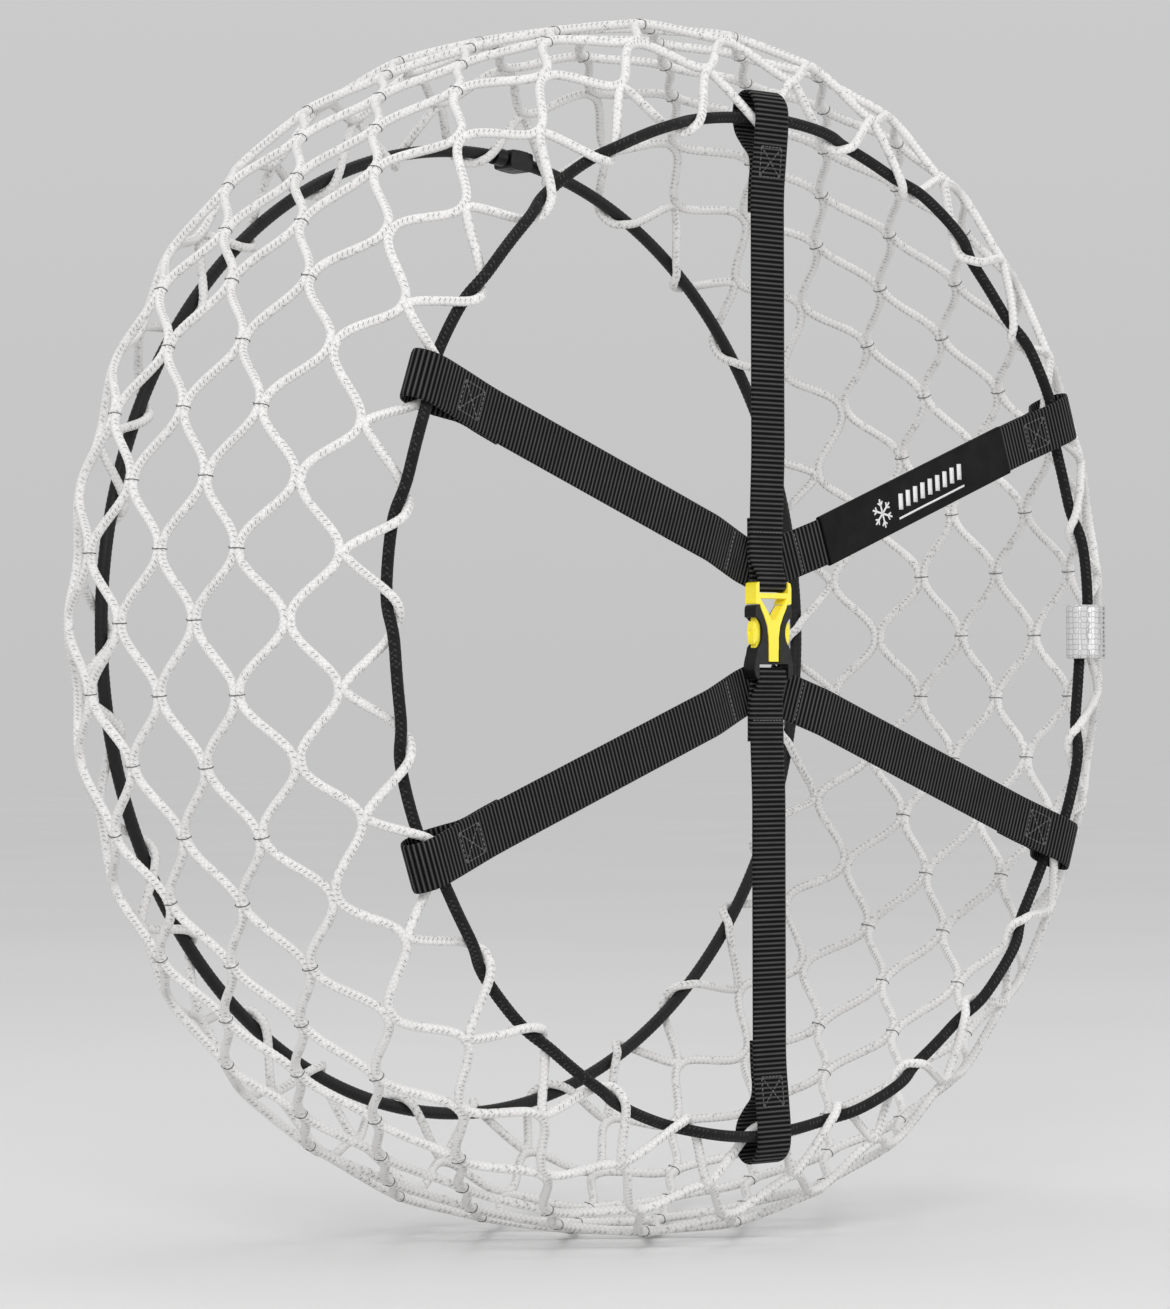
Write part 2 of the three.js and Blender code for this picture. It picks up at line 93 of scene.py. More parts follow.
WEB_WIDTH = 25.0
WEB_THICK = 1.6
WEB_NECK = 21.4  # the webbing is narrower where it rounds a bar
WEB_EDGE = 1.2  # the woven edge thins out over this width
STRAP_Y = -113.3  # middle of the webbing between hub and ring
STRAP_END = 279.2  # radius of the loop's far end
SIDE_BACK_Y = -108.1  # the side straps pass behind the buckle here
HUB = 29.5  # height of the point that the three straps on each side of the buckle run to
STRAPS = [
    ("strap_top", 0, 1),
    ("strap_upper_right", 5, 1),
    ("strap_lower_right", 9, -1),
    ("strap_bottom", 14, -1),
    ("strap_lower_left", -9, -1),
    ("strap_upper_left", -5, 1),
]
PLUG_BAR_Z = 21.3
SOCKET_BAR_Z = -25.0
BAR_R = 1.6
SLEEVE = {"start": 46.0, "end": 203.0, "width": 27.0, "thick": 3.2, "wall": 0.45}
LABEL = {"at": 7, "width": 30.0, "thick": 0.8}  # "at" is the rope loop that it is folded round

# ---- looks ----
ROPE_BRAID = {"strands": 4, "period": 2.7, "depth": 0.24, "sides": 18, "step": 0.6}
RING_BRAID = {"strands": 5, "period": 2.7, "depth": 0.3, "sides": 20, "step": 0.6}
RIB_PITCH = 2.5  # from one rib of the webbing to the next
RIB_DEPTH = 0.36
STITCH = {"length": 2.0, "gap": 0.5, "radius": 0.32, "sink": 0.35}
UV = "Along"  # the UV layer of every mesh: u runs along the piece and v round it
VOXEL = 0.25  # cell size of the mouldings
PAST = 1.0  # a cutter reaches this far past the surface that it opens
INTO = 0.5  # pieces that are joined reach this far into each other
TO_CAR = np.array([0, 1, 0])


# ---- materials ----
class Paint:
    """A Principled material under construction. Each call adds a node and returns its output."""

    def __init__(self, name, **sockets):
        self.material = bpy.data.materials.new(name)
        self.material.use_nodes = True
        self.tree = self.material.node_tree
        self.shader = self.tree.nodes["Principled BSDF"]
        for socket, value in sockets.items():
            self.join(value, self.shader.inputs[socket.replace("_", " ")])

    def join(self, value, socket):
        if isinstance(value, bpy.types.NodeSocket):
            self.tree.links.new(value, socket)
        else:
            socket.default_value = value

    def add(self, kind, inputs, output=0, **settings):
        node = self.tree.nodes.new("ShaderNode" + kind)
        for name, value in settings.items():
            setattr(node, name, value)
        for name, value in inputs.items():
            self.join(value, node.inputs[name])
        return node.outputs[output]

    def math(self, operation, a, b=0.0):
        return self.add("Math", {0: a, 1: b}, operation=operation)

    def mix(self, share, a, b):
        return self.add("Mix", {"Factor": share, "A": a, "B": b}, data_type="FLOAT")

    def blend(self, share, a, b):
        """Colour a where share is 0 and colour b where it is 1."""
        return self.add("Mix", {0: share, 6: a, 7: b}, output=2, data_type="RGBA")

    def ridges(self, value, rate, shape="SINE"):
        """Even ridges over a value, each of them from 0 up to 1."""
        return self.math("ABSOLUTE", self.math(shape, self.math("MULTIPLY", value, rate)))

    def from_middle(self, value):
        return self.math("ABSOLUTE", self.math("SUBTRACT", value, 0.5))

    def along_and_across(self):
        uv = self.add("UVMap", {}, uv_map=UV)
        node = self.tree.nodes.new("ShaderNodeSeparateXYZ")
        self.tree.links.new(uv, node.inputs[0])
        return node.outputs[0], node.outputs[1]

    def noise(self, scale, detail=3.0, roughness=0.55):
        place = self.add("TexCoord", {}, output="Object")
        inputs = {"Vector": place, "Scale": scale, "Detail": detail, "Roughness": roughness}
        return self.add("TexNoise", inputs)

    def remap(self, value, low, high, to_low, to_high):
        inputs = {"Value": value, "From Min": low, "From Max": high, "To Min": to_low, "To Max": to_high}
        return self.add("MapRange", inputs)

    def bump(self, height, distance, strength=1.0):
        inputs = {"Height": height, "Distance": distance, "Strength": strength}
        self.join(self.add("Bump", inputs), self.shader.inputs["Normal"])

    def finish(self, colour, roughness=None):
        self.join(colour, self.shader.inputs["Base Color"])
        if roughness is not None:
            self.join(roughness, self.shader.inputs["Roughness"])
        return self.material


def grey(value, warmth=0.0):
    return (value * (1 + warmth), value, value * (1 - warmth), 1.0)


def braided(name, braid, yarn, valley, fleck, rows, sheen):
    """Two families of strands that pass over and under each other, each of four yarns.

    A darker yarn comes up in short dashes, in straight rows along the rope.
    """
    paint = Paint(name, Sheen_Weight=sheen, Sheen_Roughness=0.5, Specular_IOR_Level=0.12)
    along, across = paint.along_and_across()
    left = paint.math("ADD", across, along)
    right = paint.math("SUBTRACT", across, along)
    cell_left, cell_right = paint.math("FLOOR", left), paint.math("FLOOR", right)
    lane = paint.math("FLOORED_MODULO", paint.math("ADD", cell_left, cell_right), 2.0 * braid["strands"])
    under = paint.math("FLOORED_MODULO", lane, 2.0)
    in_left, in_right = paint.math("FRACT", left), paint.math("FRACT", right)
    width = paint.mix(under, in_left, in_right)
    length = paint.mix(under, in_right, in_left)
    yarns = paint.ridges(width, 4 * math.pi)
    from_middle = paint.from_middle(width)
    edge = paint.remap(from_middle, 0.34, 0.5, 0.0, 0.6)
    from_centre = paint.from_middle(length)
    end = paint.remap(from_centre, 0.42, 0.5, 0.0, 0.6)
    cell = paint.add("CombineXYZ", {0: cell_left, 1: cell_right})
    chance = paint.add("TexWhiteNoise", {"Vector": cell}, output="Value")
    marked = paint.math("GREATER_THAN", chance, 0.95)
    for row in rows:
        in_row = paint.math("COMPARE", lane, float(row))
        shown = paint.math("MULTIPLY", in_row, paint.math("GREATER_THAN", chance, 0.3))
        marked = paint.math("MAXIMUM", marked, shown)
    stroke = paint.math("MULTIPLY", paint.remap(from_middle, 0.06, 0.26, 1.0, 0.0), 0.7)
    stroke = paint.math("MULTIPLY", stroke, paint.remap(from_centre, 0.3, 0.5, 1.0, 0.0))
    wear = paint.remap(paint.noise(60.0), 0.35, 0.7, 0.0, 0.22)
    # Painted shade: darker in the grooves between the yarns; wear adds random darker patches of real wear.
    gap = paint.remap(yarns, 0.0, 0.5, 0.14, 0.0)
    colour = paint.blend(paint.math("MAXIMUM", gap, wear), yarn, valley)
    colour = paint.blend(paint.math("MULTIPLY", marked, stroke), colour, fleck)
    # Painted shade: each strand darkens to the valley colour at its edges and ends, where it dives under the
    # crossing strands.
    colour = paint.blend(paint.math("MAXIMUM", edge, end), colour, valley)
    paint.bump(yarns, 0.0001, 0.7)
    return paint.finish(colour, paint.remap(paint.noise(1400.0), 0.3, 0.7, 0.75, 0.95))


def webbing(name, ridge_highlight, furrow_shade):
    """Cross-ribbed nylon: the ridges are lighter by a painted highlight and the furrows darker by painted
    shade, and fine warp yarns run over them.
    """
    paint = Paint(name, Sheen_Weight=0.03, Sheen_Roughness=0.4, Specular_IOR_Level=0.08)
    along, across = paint.along_and_across()
    rib = paint.ridges(along, math.pi, "COSINE")
    row = paint.math("FLOOR", paint.math("ADD", along, 0.5))
    shift = paint.math("MULTIPLY", paint.math("FLOORED_MODULO", row, 2.0), 0.5)
    warp = paint.math("ADD", paint.math("MULTIPLY", across, 1.35), shift)
    yarn = paint.ridges(warp, math.pi)
    fibre = paint.noise(2600.0, detail=2.0)
    height = paint.math("ADD", paint.math("MULTIPLY", yarn, rib), paint.math("MULTIPLY", fibre, 0.4))
    # Painted highlight on the ribs' crests, brighter on the warp yarns and a little dimmer at random.
    light = paint.math("MULTIPLY", paint.math("POWER", rib, 6.0), paint.remap(yarn, 0.0, 1.0, 0.55, 1.0))
    light = paint.math("MULTIPLY", light, paint.remap(paint.noise(60.0), 0.3, 0.7, 0.75, 1.0))
    paint.bump(height, 0.0002, 0.7)
    return paint.finish(paint.blend(light, furrow_shade, ridge_highlight), paint.remap(rib, 0.0, 1.0, 0.9, 0.5))


def moulded(name, colour, shade, roughness, grain=0.00002, **sockets):
    """Injection-moulded plastic: a fine spark-eroded grain, with faint flow marks."""
    paint = Paint(name, **sockets)
    flow = paint.remap(paint.noise(45.0, detail=2.0), 0.35, 0.7, 0.0, 0.5)
    rough = paint.remap(paint.noise(500.0), 0.3, 0.7, roughness - 0.05, roughness + 0.08)
    paint.bump(paint.noise(3200.0, detail=2.0), grain, 0.5)
    return paint.finish(paint.blend(flow, colour, shade), rough)


def wire(name, colour, roughness):
    """Drawn wire with fine scratches."""
    paint = Paint(name, Metallic=1.0)
    scratch = paint.noise(4000.0, detail=4.0)
    paint.bump(scratch, 0.00001, 0.4)
    colour = paint.blend(paint.remap(scratch, 0.3, 0.7, 0.0, 0.6), colour, grey(0.1))
    return paint.finish(colour, paint.remap(scratch, 0.3, 0.7, roughness - 0.08, roughness + 0.12))


def thread(name, colour, shade):
    """Twisted sewing thread."""
    paint = Paint(name, Sheen_Weight=0.1, Specular_IOR_Level=0.2, Roughness=0.6)
    strand = paint.noise(1800.0, detail=2.0)
    paint.bump(strand, 0.00006, 0.6)
    return paint.finish(paint.blend(paint.remap(strand, 0.35, 0.65, 0.0, 1.0), colour, shade))


def coated_cloth(name, colour, shade, roughness, cell):
    """Tightly woven cloth under a smooth coat."""
    paint = Paint(name, Specular_IOR_Level=0.1)
    along, across = paint.along_and_across()
    weft = paint.math("SINE", paint.math("MULTIPLY", along, 2 * math.pi / cell))
    warp = paint.math("SINE", paint.math("MULTIPLY", across, 2 * math.pi / cell))
    weave = paint.math("MULTIPLY", weft, warp)
    cloud = paint.noise(70.0)
    paint.bump(weave, 0.00003, 0.6)
    colour = paint.blend(paint.remap(cloud, 0.35, 0.7, 0.0, 1.0), colour, shade)
    return paint.finish(colour, paint.remap(cloud, 0.3, 0.7, roughness - 0.06, roughness + 0.08))


def bead_film(name):
    """Retroreflective film: bright cells sealed off from each other by thin dull lines."""
    paint = Paint(name, Metallic=0.25, Coat_Weight=0.25)
    place = paint.add("TexCoord", {}, output="Object")
    border = paint.add(
        "TexVoronoi", {"Vector": place, "Scale": 330.0, "Randomness": 0.25}, feature="DISTANCE_TO_EDGE"
    )
    line = paint.remap(border, 0.03, 0.1, 1.0, 0.0)
    glint = paint.remap(paint.noise(5000.0, detail=1.0), 0.3, 0.7, 0.0, 0.5)
    colour = paint.blend(glint, grey(0.72), grey(0.5))
    paint.bump(border, 0.0001, 0.3)
    return paint.finish(paint.blend(line, colour, grey(0.38)), paint.remap(line, 0.0, 1.0, 0.3, 0.6))


def matte_floor(name):
    paint = Paint(name, Specular_IOR_Level=0.0)
    cloud = paint.noise(1.4)
    light, dark = grey(FLOOR_SHADE + 0.01), grey(FLOOR_SHADE - 0.01)
    colour = paint.blend(paint.remap(cloud, 0.3, 0.7, 0.0, 1.0), light, dark)
    return paint.finish(colour, paint.remap(cloud, 0.3, 0.7, 0.8, 0.9))


# ---- lines ----
def on_wheel(angle, radius, y):
    """Points at an angle from the top of the wheel, clockwise as seen from the outer face."""
    angle, radius, y = np.broadcast_arrays(angle, radius, y)
    return np.stack([radius * np.sin(angle), y, radius * np.cos(angle)], axis=-1)


def smooth_span(corners, count=10):
    """A centripetal Catmull-Rom curve from the second to the third of four points."""
    gaps = [max(1e-6, np.linalg.norm(b - a)) ** 0.5 for a, b in zip(corners, corners[1:])]
    times = np.cumsum([0, *gaps])
    t = np.linspace(times[1], times[2], count, endpoint=False)[:, None]

    def between(first, last, a, b):
        low, high = times[first], times[last]
        return (high - t) / (high - low) * a + (t - low) / (high - low) * b

    a = [between(i, i + 1, corners[i], corners[i + 1]) for i in range(3)]
    return between(1, 2, between(0, 2, a[0], a[1]), between(1, 3, a[1], a[2]))


def smooth_line(points, closed=False):
    """A smooth line through the points."""
    points = np.asarray(points, float)
    if closed:
        run = np.vstack([points[-1:], points, points[:2]])
    else:
        run = np.vstack([2 * points[0] - points[1], points, 2 * points[-1] - points[-2]])
    line = np.vstack([smooth_span(run[i : i + 4]) for i in range(len(run) - 3)])
    return line if closed else np.vstack([line, points[-1]])


def even_steps(points, step, closed=False):
    """The same line as points at even distances, and the distance of each from the start."""
    if closed:
        points = np.vstack([points, points[:1]])
    gaps = np.linalg.norm(np.diff(points, axis=0), axis=1)
    reach = np.concatenate([[0], np.cumsum(gaps)])
    places = np.linspace(0, reach[-1], max(2, round(reach[-1] / step)) + 1)
    line = np.column_stack([np.interp(places, reach, column) for column in points.T])
    return (line[:-1] if closed else line), places


def directions(line, closed=False):
    if closed:
        step = np.roll(line, -1, axis=0) - np.roll(line, 1, axis=0)
    else:
        step = np.gradient(line, axis=0)
    return step / np.linalg.norm(step, axis=1, keepdims=True)


def left_of(line):
    """Unit vectors square to a flat line, on its left."""
    along = directions(line)
    return np.column_stack([-along[:, 1], along[:, 0]])


def carried_frames(line, closed=False):
    """Two unit vectors square to the line at each point, which turn as little as they can."""
    along = directions(line, closed)
    normal = Vector(np.cross(along[0], (0.3, 1.0, 0.2))).normalized()
    first = normal.copy()
    normals = []
    for tangent in along:
        tangent = Vector(tangent)
        normal = (normal - tangent.dot(normal) * tangent).normalized()
        normals.append(normal[:])
    normals = np.array(normals)
    binormals = np.cross(along, normals)
    if closed:
        tangent = Vector(along[0])
        last = (normal - tangent.dot(normal) * tangent).normalized()
        twist = math.atan2(tangent.dot(last.cross(first)), last.dot(first))
        turn = (twist * np.arange(len(line)) / len(line))[:, None]
        normals, binormals = (
            np.cos(turn) * normals + np.sin(turn) * binormals,
            np.cos(turn) * binormals - np.sin(turn) * normals,
        )
    return normals, binormals


def spokes(line, sides, closed=False):
    """Unit vectors that point out from the line, an array of points by sides by 3."""
    normals, binormals = carried_frames(line, closed)
    angle = 2 * math.pi * np.arange(sides) / sides
    across, up = np.cos(angle)[None, :, None], np.sin(angle)[None, :, None]
    return across * normals[:, None] + up * binormals[:, None]


# ---- meshes ----
def mesh_of(name, points, faces, corner_uv=None, smooth=True):
    """A mesh from points in millimetres and faces as arrays of point numbers."""
    mesh = bpy.data.meshes.new(name)
    lengths = np.concatenate([np.full(len(part), part.shape[1]) for part in faces])
    corners = np.concatenate([part.ravel() for part in faces])
    mesh.vertices.add(len(points))
    mesh.vertices.foreach_set("co", (np.asarray(points) * MM).astype(np.float32).ravel())
    mesh.loops.add(len(corners))
    mesh.loops.foreach_set("vertex_index", corners.astype(np.int32))
    mesh.polygons.add(len(lengths))
    starts = np.concatenate([[0], np.cumsum(lengths)[:-1]])
    mesh.polygons.foreach_set("loop_start", starts.astype(np.int32))
    if corner_uv is not None:
        layer = mesh.uv_layers.new(name=UV)
        layer.uv.foreach_set("vector", corner_uv.astype(np.float32).ravel())
    mesh.update(calc_edges=True)
    mesh.polygons.foreach_set("use_smooth", np.full(len(lengths), smooth))
    mesh.validate()
    return mesh


def skin(name, rings, reach, across, closed=False):
    """A skin over rings of points, an array of rings by points by 3.

    reach holds the u of each ring and across the v of each point, with one more value where they wrap.
    """
    count, sides = rings.shape[:2]
    spans = count if closed else count - 1
    i, j = np.meshgrid(np.arange(spans), np.arange(sides), indexing="ij")
    after, beside = (i + 1) % count, (j + 1) % sides
    quads = np.stack([i * sides + j, i * sides + beside, after * sides + beside, after * sides + j], -1)
    u, v = np.asarray(reach), np.asarray(across)
    corner_u = np.stack([u[i], u[i], u[i + 1], u[i + 1]], -1)
    corner_v = np.stack([v[j], v[j + 1], v[j + 1], v[j]], -1)
    uv = np.stack([corner_u, corner_v], -1).reshape(-1, 2)
    faces = [quads.reshape(-1, 4)]
    if not closed:
        first = np.arange(sides)[::-1]
        last = np.arange(sides) + (count - 1) * sides
        faces.append(np.stack([first, last]))
        for k, order in ((0, first), (-1, last % sides)):
            uv = np.vstack([uv, np.column_stack([np.full(sides, u[k]), v[order]])])
    return mesh_of(name, rings.reshape(-1, 3), faces, uv)


def braid_height(left, right):
    """How high the surface stands, from 0 in a valley to 1 on a strand's crown."""
    under = (np.floor(left) + np.floor(right)) % 2
    in_left, in_right = left % 1 - 0.5, right % 1 - 0.5
    width = np.where(under == 0, in_left, in_right)
    length = np.where(under == 0, in_right, in_left)
    return np.cos(math.pi * width) ** 0.8 * (0.55 + 0.45 * np.cos(math.pi * length))


def braided_tube(name, path, radius, braid):
    """A closed braided rope of that radius, whose strands stand out of its surface."""
    line, places = even_steps(path, braid["step"], closed=True)
    periods = round(places[-1] / braid["period"])
    reach = places * periods / places[-1]
    turns = np.arange(braid["sides"] + 1) / braid["sides"]
    across = turns * braid["strands"]
    height = braid_height(across[None, :-1] + reach[:-1, None], across[None, :-1] - reach[:-1, None])
    distance = radius + braid["depth"] * (height - 0.7)
    rings = line[:, None] + distance[..., None] * spokes(line, braid["sides"], closed=True)
    return skin(name, rings, reach, across, closed=True)


def plain_tube(name, path, radius, sides, step):
    line, places = even_steps(path, step)
    rings = line[:, None] + radius * spokes(line, sides)
    return skin(name, rings, places, np.arange(sides + 1) / sides * 2 * math.pi * radius)


def joined(name, meshes):
    """One mesh of several, with their UVs."""
    points, faces, uvs, start = [], {}, [], 0
    for mesh in meshes:
        co = np.empty(len(mesh.vertices) * 3)
        mesh.vertices.foreach_get("co", co)
        points.append(co.reshape(-1, 3) / MM)
        uv = np.empty(len(mesh.loops) * 2)
        mesh.uv_layers[UV].uv.foreach_get("vector", uv)
        uv = uv.reshape(-1, 2)
        for face in mesh.polygons:
            corners = list(face.loop_indices)
            row = faces.setdefault(len(corners), ([], []))
            row[0].append([start + v for v in face.vertices])
            row[1].append(uv[corners])
        start += len(mesh.vertices)
        bpy.data.meshes.remove(mesh)
    parts = [np.array(rows) for rows, _ in faces.values()]
    uvs = [np.vstack(rows) for _, rows in faces.values()]
    return mesh_of(name, np.vstack(points), parts, np.vstack(uvs))


def copies(name, rings, reach, across, places):
    """One mesh of the same small skin at several places, each a 4 by 4 matrix in millimetres."""
    one = skin(name + "_one", rings, reach, across)
    many = []
    for place in places:
        copy = one.copy()
        copy.transform(Matrix.Translation(Vector(place.translation) * MM) @ place.to_3x3().to_4x4())
        many.append(copy)
    bpy.data.meshes.remove(one)
    return joined(name, many)


# ---- placing pieces ----
def linked(name, data):
    """A new object of the scene that holds a mesh, a light or a camera."""
    obj = bpy.data.objects.new(name, data)
    bpy.context.scene.collection.objects.link(obj)
    return obj


def placed(middle, x, y, z):
    """The matrix that turns a shape's own axes to x, y and z and puts its origin at middle."""
    return Matrix.Translation(Vector(middle)) @ Matrix((x, y, z)).transposed().to_4x4()


def piece(name, mesh, material, body="chain", stands_for=()):
    """Adds a piece; body is the one it rides. When body is another body with two points, the piece is only
    baked in place and they are not used.
    """
    obj = linked(name, mesh)
    mesh.name = name
    mesh.materials.clear()
    mesh.materials.append(material)
    if stands_for:
        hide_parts(*stands_for)
    if isinstance(body, str):
        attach(obj, body)
    else:
        other, start, end = body
        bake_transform(obj)
        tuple(start)
        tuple(end)


# ---- the net ----
SHIFTS = RANDOM.uniform(-1, 1, (len(ROWS), MESHES, 2)) * KNOT_SHIFT


def profile_direction(row):
    """The tread profile's direction at a row, as its y and radius."""
    before, after = ROWS[max(0, row - 1)], ROWS[min(len(ROWS) - 1, row + 1)]
    step = np.subtract(after, before)
    return step / np.linalg.norm(step)


def knot(row, step, towards=0):
    """Angle, y and radius at a knot; towards moves half a rope to the inner or outer side."""
    y, radius = ROWS[row]
    lengthwise, crosswise = SHIFTS[row][step % MESHES]
    along = profile_direction(row)
    shift = towards * KNOT_HALF + crosswise
    angle = (step + (0.5 if row % 2 == 0 else 0)) * PITCH + lengthwise / radius
    return np.array([angle, y + shift * along[0], radius + shift * along[1]])


def ease(t):
    return t * t * (3 - 2 * t)


def leg(start, end, samples=16):
    """From one knot's flat to the next one's, in an S over the tread."""
    first = start + [KNOT_FLAT / start[2], 0, 0]
    last = end - [KNOT_FLAT / end[2], 0, 0]
    t = np.linspace(0, 1, samples)
    angle = first[0] + (last[0] - first[0]) * t
    side = first[1:] + (last[1:] - first[1:]) * ease(t)[:, None]
    return on_wheel(angle, side[:, 1], side[:, 0])


def net_path(row):
    first = row % 2 == 0
    knots = []
    for step in range(MESHES):
        knots.append(knot(row, step - 1 if first else step, 1))
        knots.append(knot(row + 1, step, -1))
    full_turn = knots[0] + [2 * math.pi, 0, 0]
    return np.vstack([leg(a, b) for a, b in zip(knots, [*knots[1:], full_turn])])


def ring_weave(pitches):
    return np.tanh(2.2 * np.sin(math.pi * pitches))


def edge_path(row, towards, ring):
    """From knot to knot, round the inner side of the ring or hoop between them."""
    side = math.copysign(1, ring["y"])
    clear = ring["rope"] + ROPE_R + 0.15
    points = []
    for loop in range(MESHES):
        before, after = knot(row, loop - 1, towards), knot(row, loop, towards)
        flat = KNOT_FLAT / before[2]
        points.append(on_wheel(before[0] + flat, before[2], before[1]))
        for offset in (-CROSSING, -LOOP_SHOULDER, 0, LOOP_SHOULDER, CROSSING):
            pitches = loop + offset
            middle = ring["y"] + ring["weave"] * ring_weave(pitches) * side
            over = np.sign(offset) * (-1 if loop % 2 == 0 else 1)
            turn = {CROSSING: 0.5, LOOP_SHOULDER: 0.27, 0: 0}[abs(offset)] * math.pi
            radius = RING_RADIUS - clear * math.cos(turn)
            points.append(on_wheel(pitches * PITCH, radius, middle + side * over * clear * math.sin(turn)))
        points.append(on_wheel(after[0] - flat, after[2], after[1]))
    return smooth_line(points, closed=True)


def ring_path():
    pitches = np.arange(MESHES * 24) / 24
    return on_wheel(pitches * PITCH, RING_RADIUS, RING["y"] - RING["weave"] * ring_weave(pitches))


def clip_rings():
    """A little over a turn of wire round two ropes that lie side by side, with its ends bent out."""
    overlap = CLIP["overlap"] * math.pi
    turn = np.linspace(-overlap, 2 * math.pi + overlap, 40)
    bent = CLIP["bend"] * np.clip((np.abs(turn - math.pi) / math.pi - 1.08) / 0.2, 0, 1)
    reach = ROPE_LOOK + 0.04 + bent
    wide = KNOT_HALF * np.tanh(4 * np.cos(turn)) + reach * np.cos(turn)
    rise = np.linspace(-CLIP["rise"], CLIP["rise"], len(turn))
    line, places = even_steps(np.column_stack([wide, reach * np.sin(turn), rise]), 0.6)
    return line[:, None] + CLIP["wire"] * spokes(line, 8), places, np.arange(9) * 0.3


def clip_places(row):
    for step in range(MESHES):
        angle, y, radius = knot(row, step)
        along_y, along_radius = profile_direction(row)
        outwards = Vector((math.sin(angle), 0, math.cos(angle)))
        lengthwise = Vector((math.cos(angle), 0, -math.sin(angle)))
        across = Vector(TO_CAR) * along_y + outwards * along_radius
        yield placed(on_wheel(angle, radius, y), across, lengthwise.cross(across), lengthwise)


def add_net(white_rope, black_cord, clip_wire):
    ropes = {f"net_rope_{row + 1}": net_path(row) for row in range(len(ROWS) - 1)}
    ropes["outer_edge_rope"] = edge_path(0, -1, RING)
    ropes["inner_edge_rope"] = edge_path(len(ROWS) - 1, 1, HOOP)
    for name, path in ropes.items():
        mesh = braided_tube(name, path, ROPE_LOOK, ROPE_BRAID)
        piece("braided_" + name, mesh, white_rope, stands_for=[name])
    ring = braided_tube("ring", ring_path(), RING["rope"], RING_BRAID)
    piece("braided_elastic_ring", ring, black_cord, stands_for=["elastic_ring"])
    for row in CLIPPED_ROWS:
        clips = copies("clips", *clip_rings(), clip_places(row))
        piece(f"knot_clips_row_{row + 1}", clips, clip_wire)


# ---- straps ----
RING_LOOP = [
    (66, STRAP_Y), (60, STRAP_Y), (48, STRAP_Y - 0.5), (34, -115.2), (21, -116.4), (13.5, -116.8),
    (6.5, -115.8), (1.8, -112.6), (0, -109), (1.8, -104.6), (6.5, -101.3), (13.5, -100.6),
    (21, -102.1), (28, -106.8), (34, -111.6), (40, -112.6), (48, -111.8), (57, -111.3), (63.8, -111.2),
]
SIDE_HUB = [
    (5, SIDE_BACK_Y), (10, SIDE_BACK_Y), (16.5, SIDE_BACK_Y), (31, (SIDE_BACK_Y + STRAP_Y) / 2),
    (45.5, STRAP_Y), (54, STRAP_Y), (66, STRAP_Y),
]
BOX_STITCH = {"from_end": 37.0, "size": 15.5}
CROSS_STITCH = {"side": 28.0, "straight": 49.0}  # distance from the hub of the line of stitches
BEND = {"from_end": 75.0, "from_hub": 62.0}  # distances of the two points given with the plug for the upper straps


def bar_fold(bar):
    """The hub end of the top and bottom straps, folded round a buckle bar."""
    fold = BAR_R + GAP + 0.1 + WEB_THICK / 2
    back = STRAP_Y + 3
    turns = np.radians(np.linspace(80, 270, 9))
    arc = [(bar + fold * math.cos(t), STRAP_Y + fold * math.sin(t)) for t in turns]
    front = [(bar + 4, STRAP_Y - fold + 0.3), (bar + 12, back - 1.9), (bar + 35, back - 1.9)]
    tail = [(bar + 35, back), (bar + 10, back), (bar + 4, back + 0.1)]
    return [*tail, *arc, *front, (90, STRAP_Y), (110, STRAP_Y)]


class Strap:
    """A strap's own frame: distance from the hub, y, and distance across."""

    def __init__(self, name, at, side):
        self.name = name
        self.straight = at in (0, MESHES // 2)
        self.hub = np.array([0, 0, 0 if self.straight else HUB * side], float)
        reach = on_wheel(at * PITCH, STRAP_END, 0) - self.hub
        self.length = np.linalg.norm(reach)
        self.along = reach / self.length
        self.across = np.cross(self.along, TO_CAR)
        self.upper = side > 0
        self.bar = PLUG_BAR_Z if side > 0 else -SOCKET_BAR_Z
        hub_end = bar_fold(self.bar) if self.straight else SIDE_HUB
        loop = [(self.length - from_end, y) for from_end, y in RING_LOOP]
        self.line, self.places = even_steps(smooth_line([*hub_end, *loop]), 0.5)
        self.tip = int(np.argmax(self.line[:, 0]))

    def world(self, reach, y, across):
        reach, y, across = (np.asarray(value)[..., None] for value in (reach, y, across))
        return self.hub + self.along * reach + TO_CAR * y + self.across * across

    def face(self, reach, front):
        """The y of the front of the front layer, or of the back of the tail."""
        start = int(np.argmin(self.line[: self.tip, 0]))
        half = self.line[start : self.tip] if front else self.line[self.tip :][::-1]
        outwards = -1 if front else 1
        return np.interp(reach, half[:, 0], half[:, 1]) + outwards * (WEB_THICK / 2 + 0.05)

    def bodies(self):
        """What it rides on: the chain, or for the upper straps, whose hub end the plug holds, the plug with
        two points along the strap.
        """
        if not self.upper:
            return "chain"
        bend = (self.length - BEND["from_end"], BEND["from_hub"])
        ends = [self.world(reach, STRAP_Y, 0.0) * MM for reach in bend]
        return ("plug", *(tuple(float(x) for x in end) for end in ends))


def both_faces(columns):
    """Once round a flat strip: the places across it, from -1 to 1, and the face that each is on."""
    half = np.linspace(-1, 1, columns)
    return np.concatenate([half, half[::-1]]), np.concatenate([np.ones(columns), -np.ones(columns)])


def web_section():
    """Once round the webbing: the places across it, and their shares of its thickness and its ribs."""
    across, side = both_faces(18)
    edge = np.clip((1 - np.abs(across)) * WEB_WIDTH / 2, 0, WEB_EDGE) / WEB_EDGE
    return across, (0.5 + 0.5 * np.sqrt(edge)) * side, edge * side


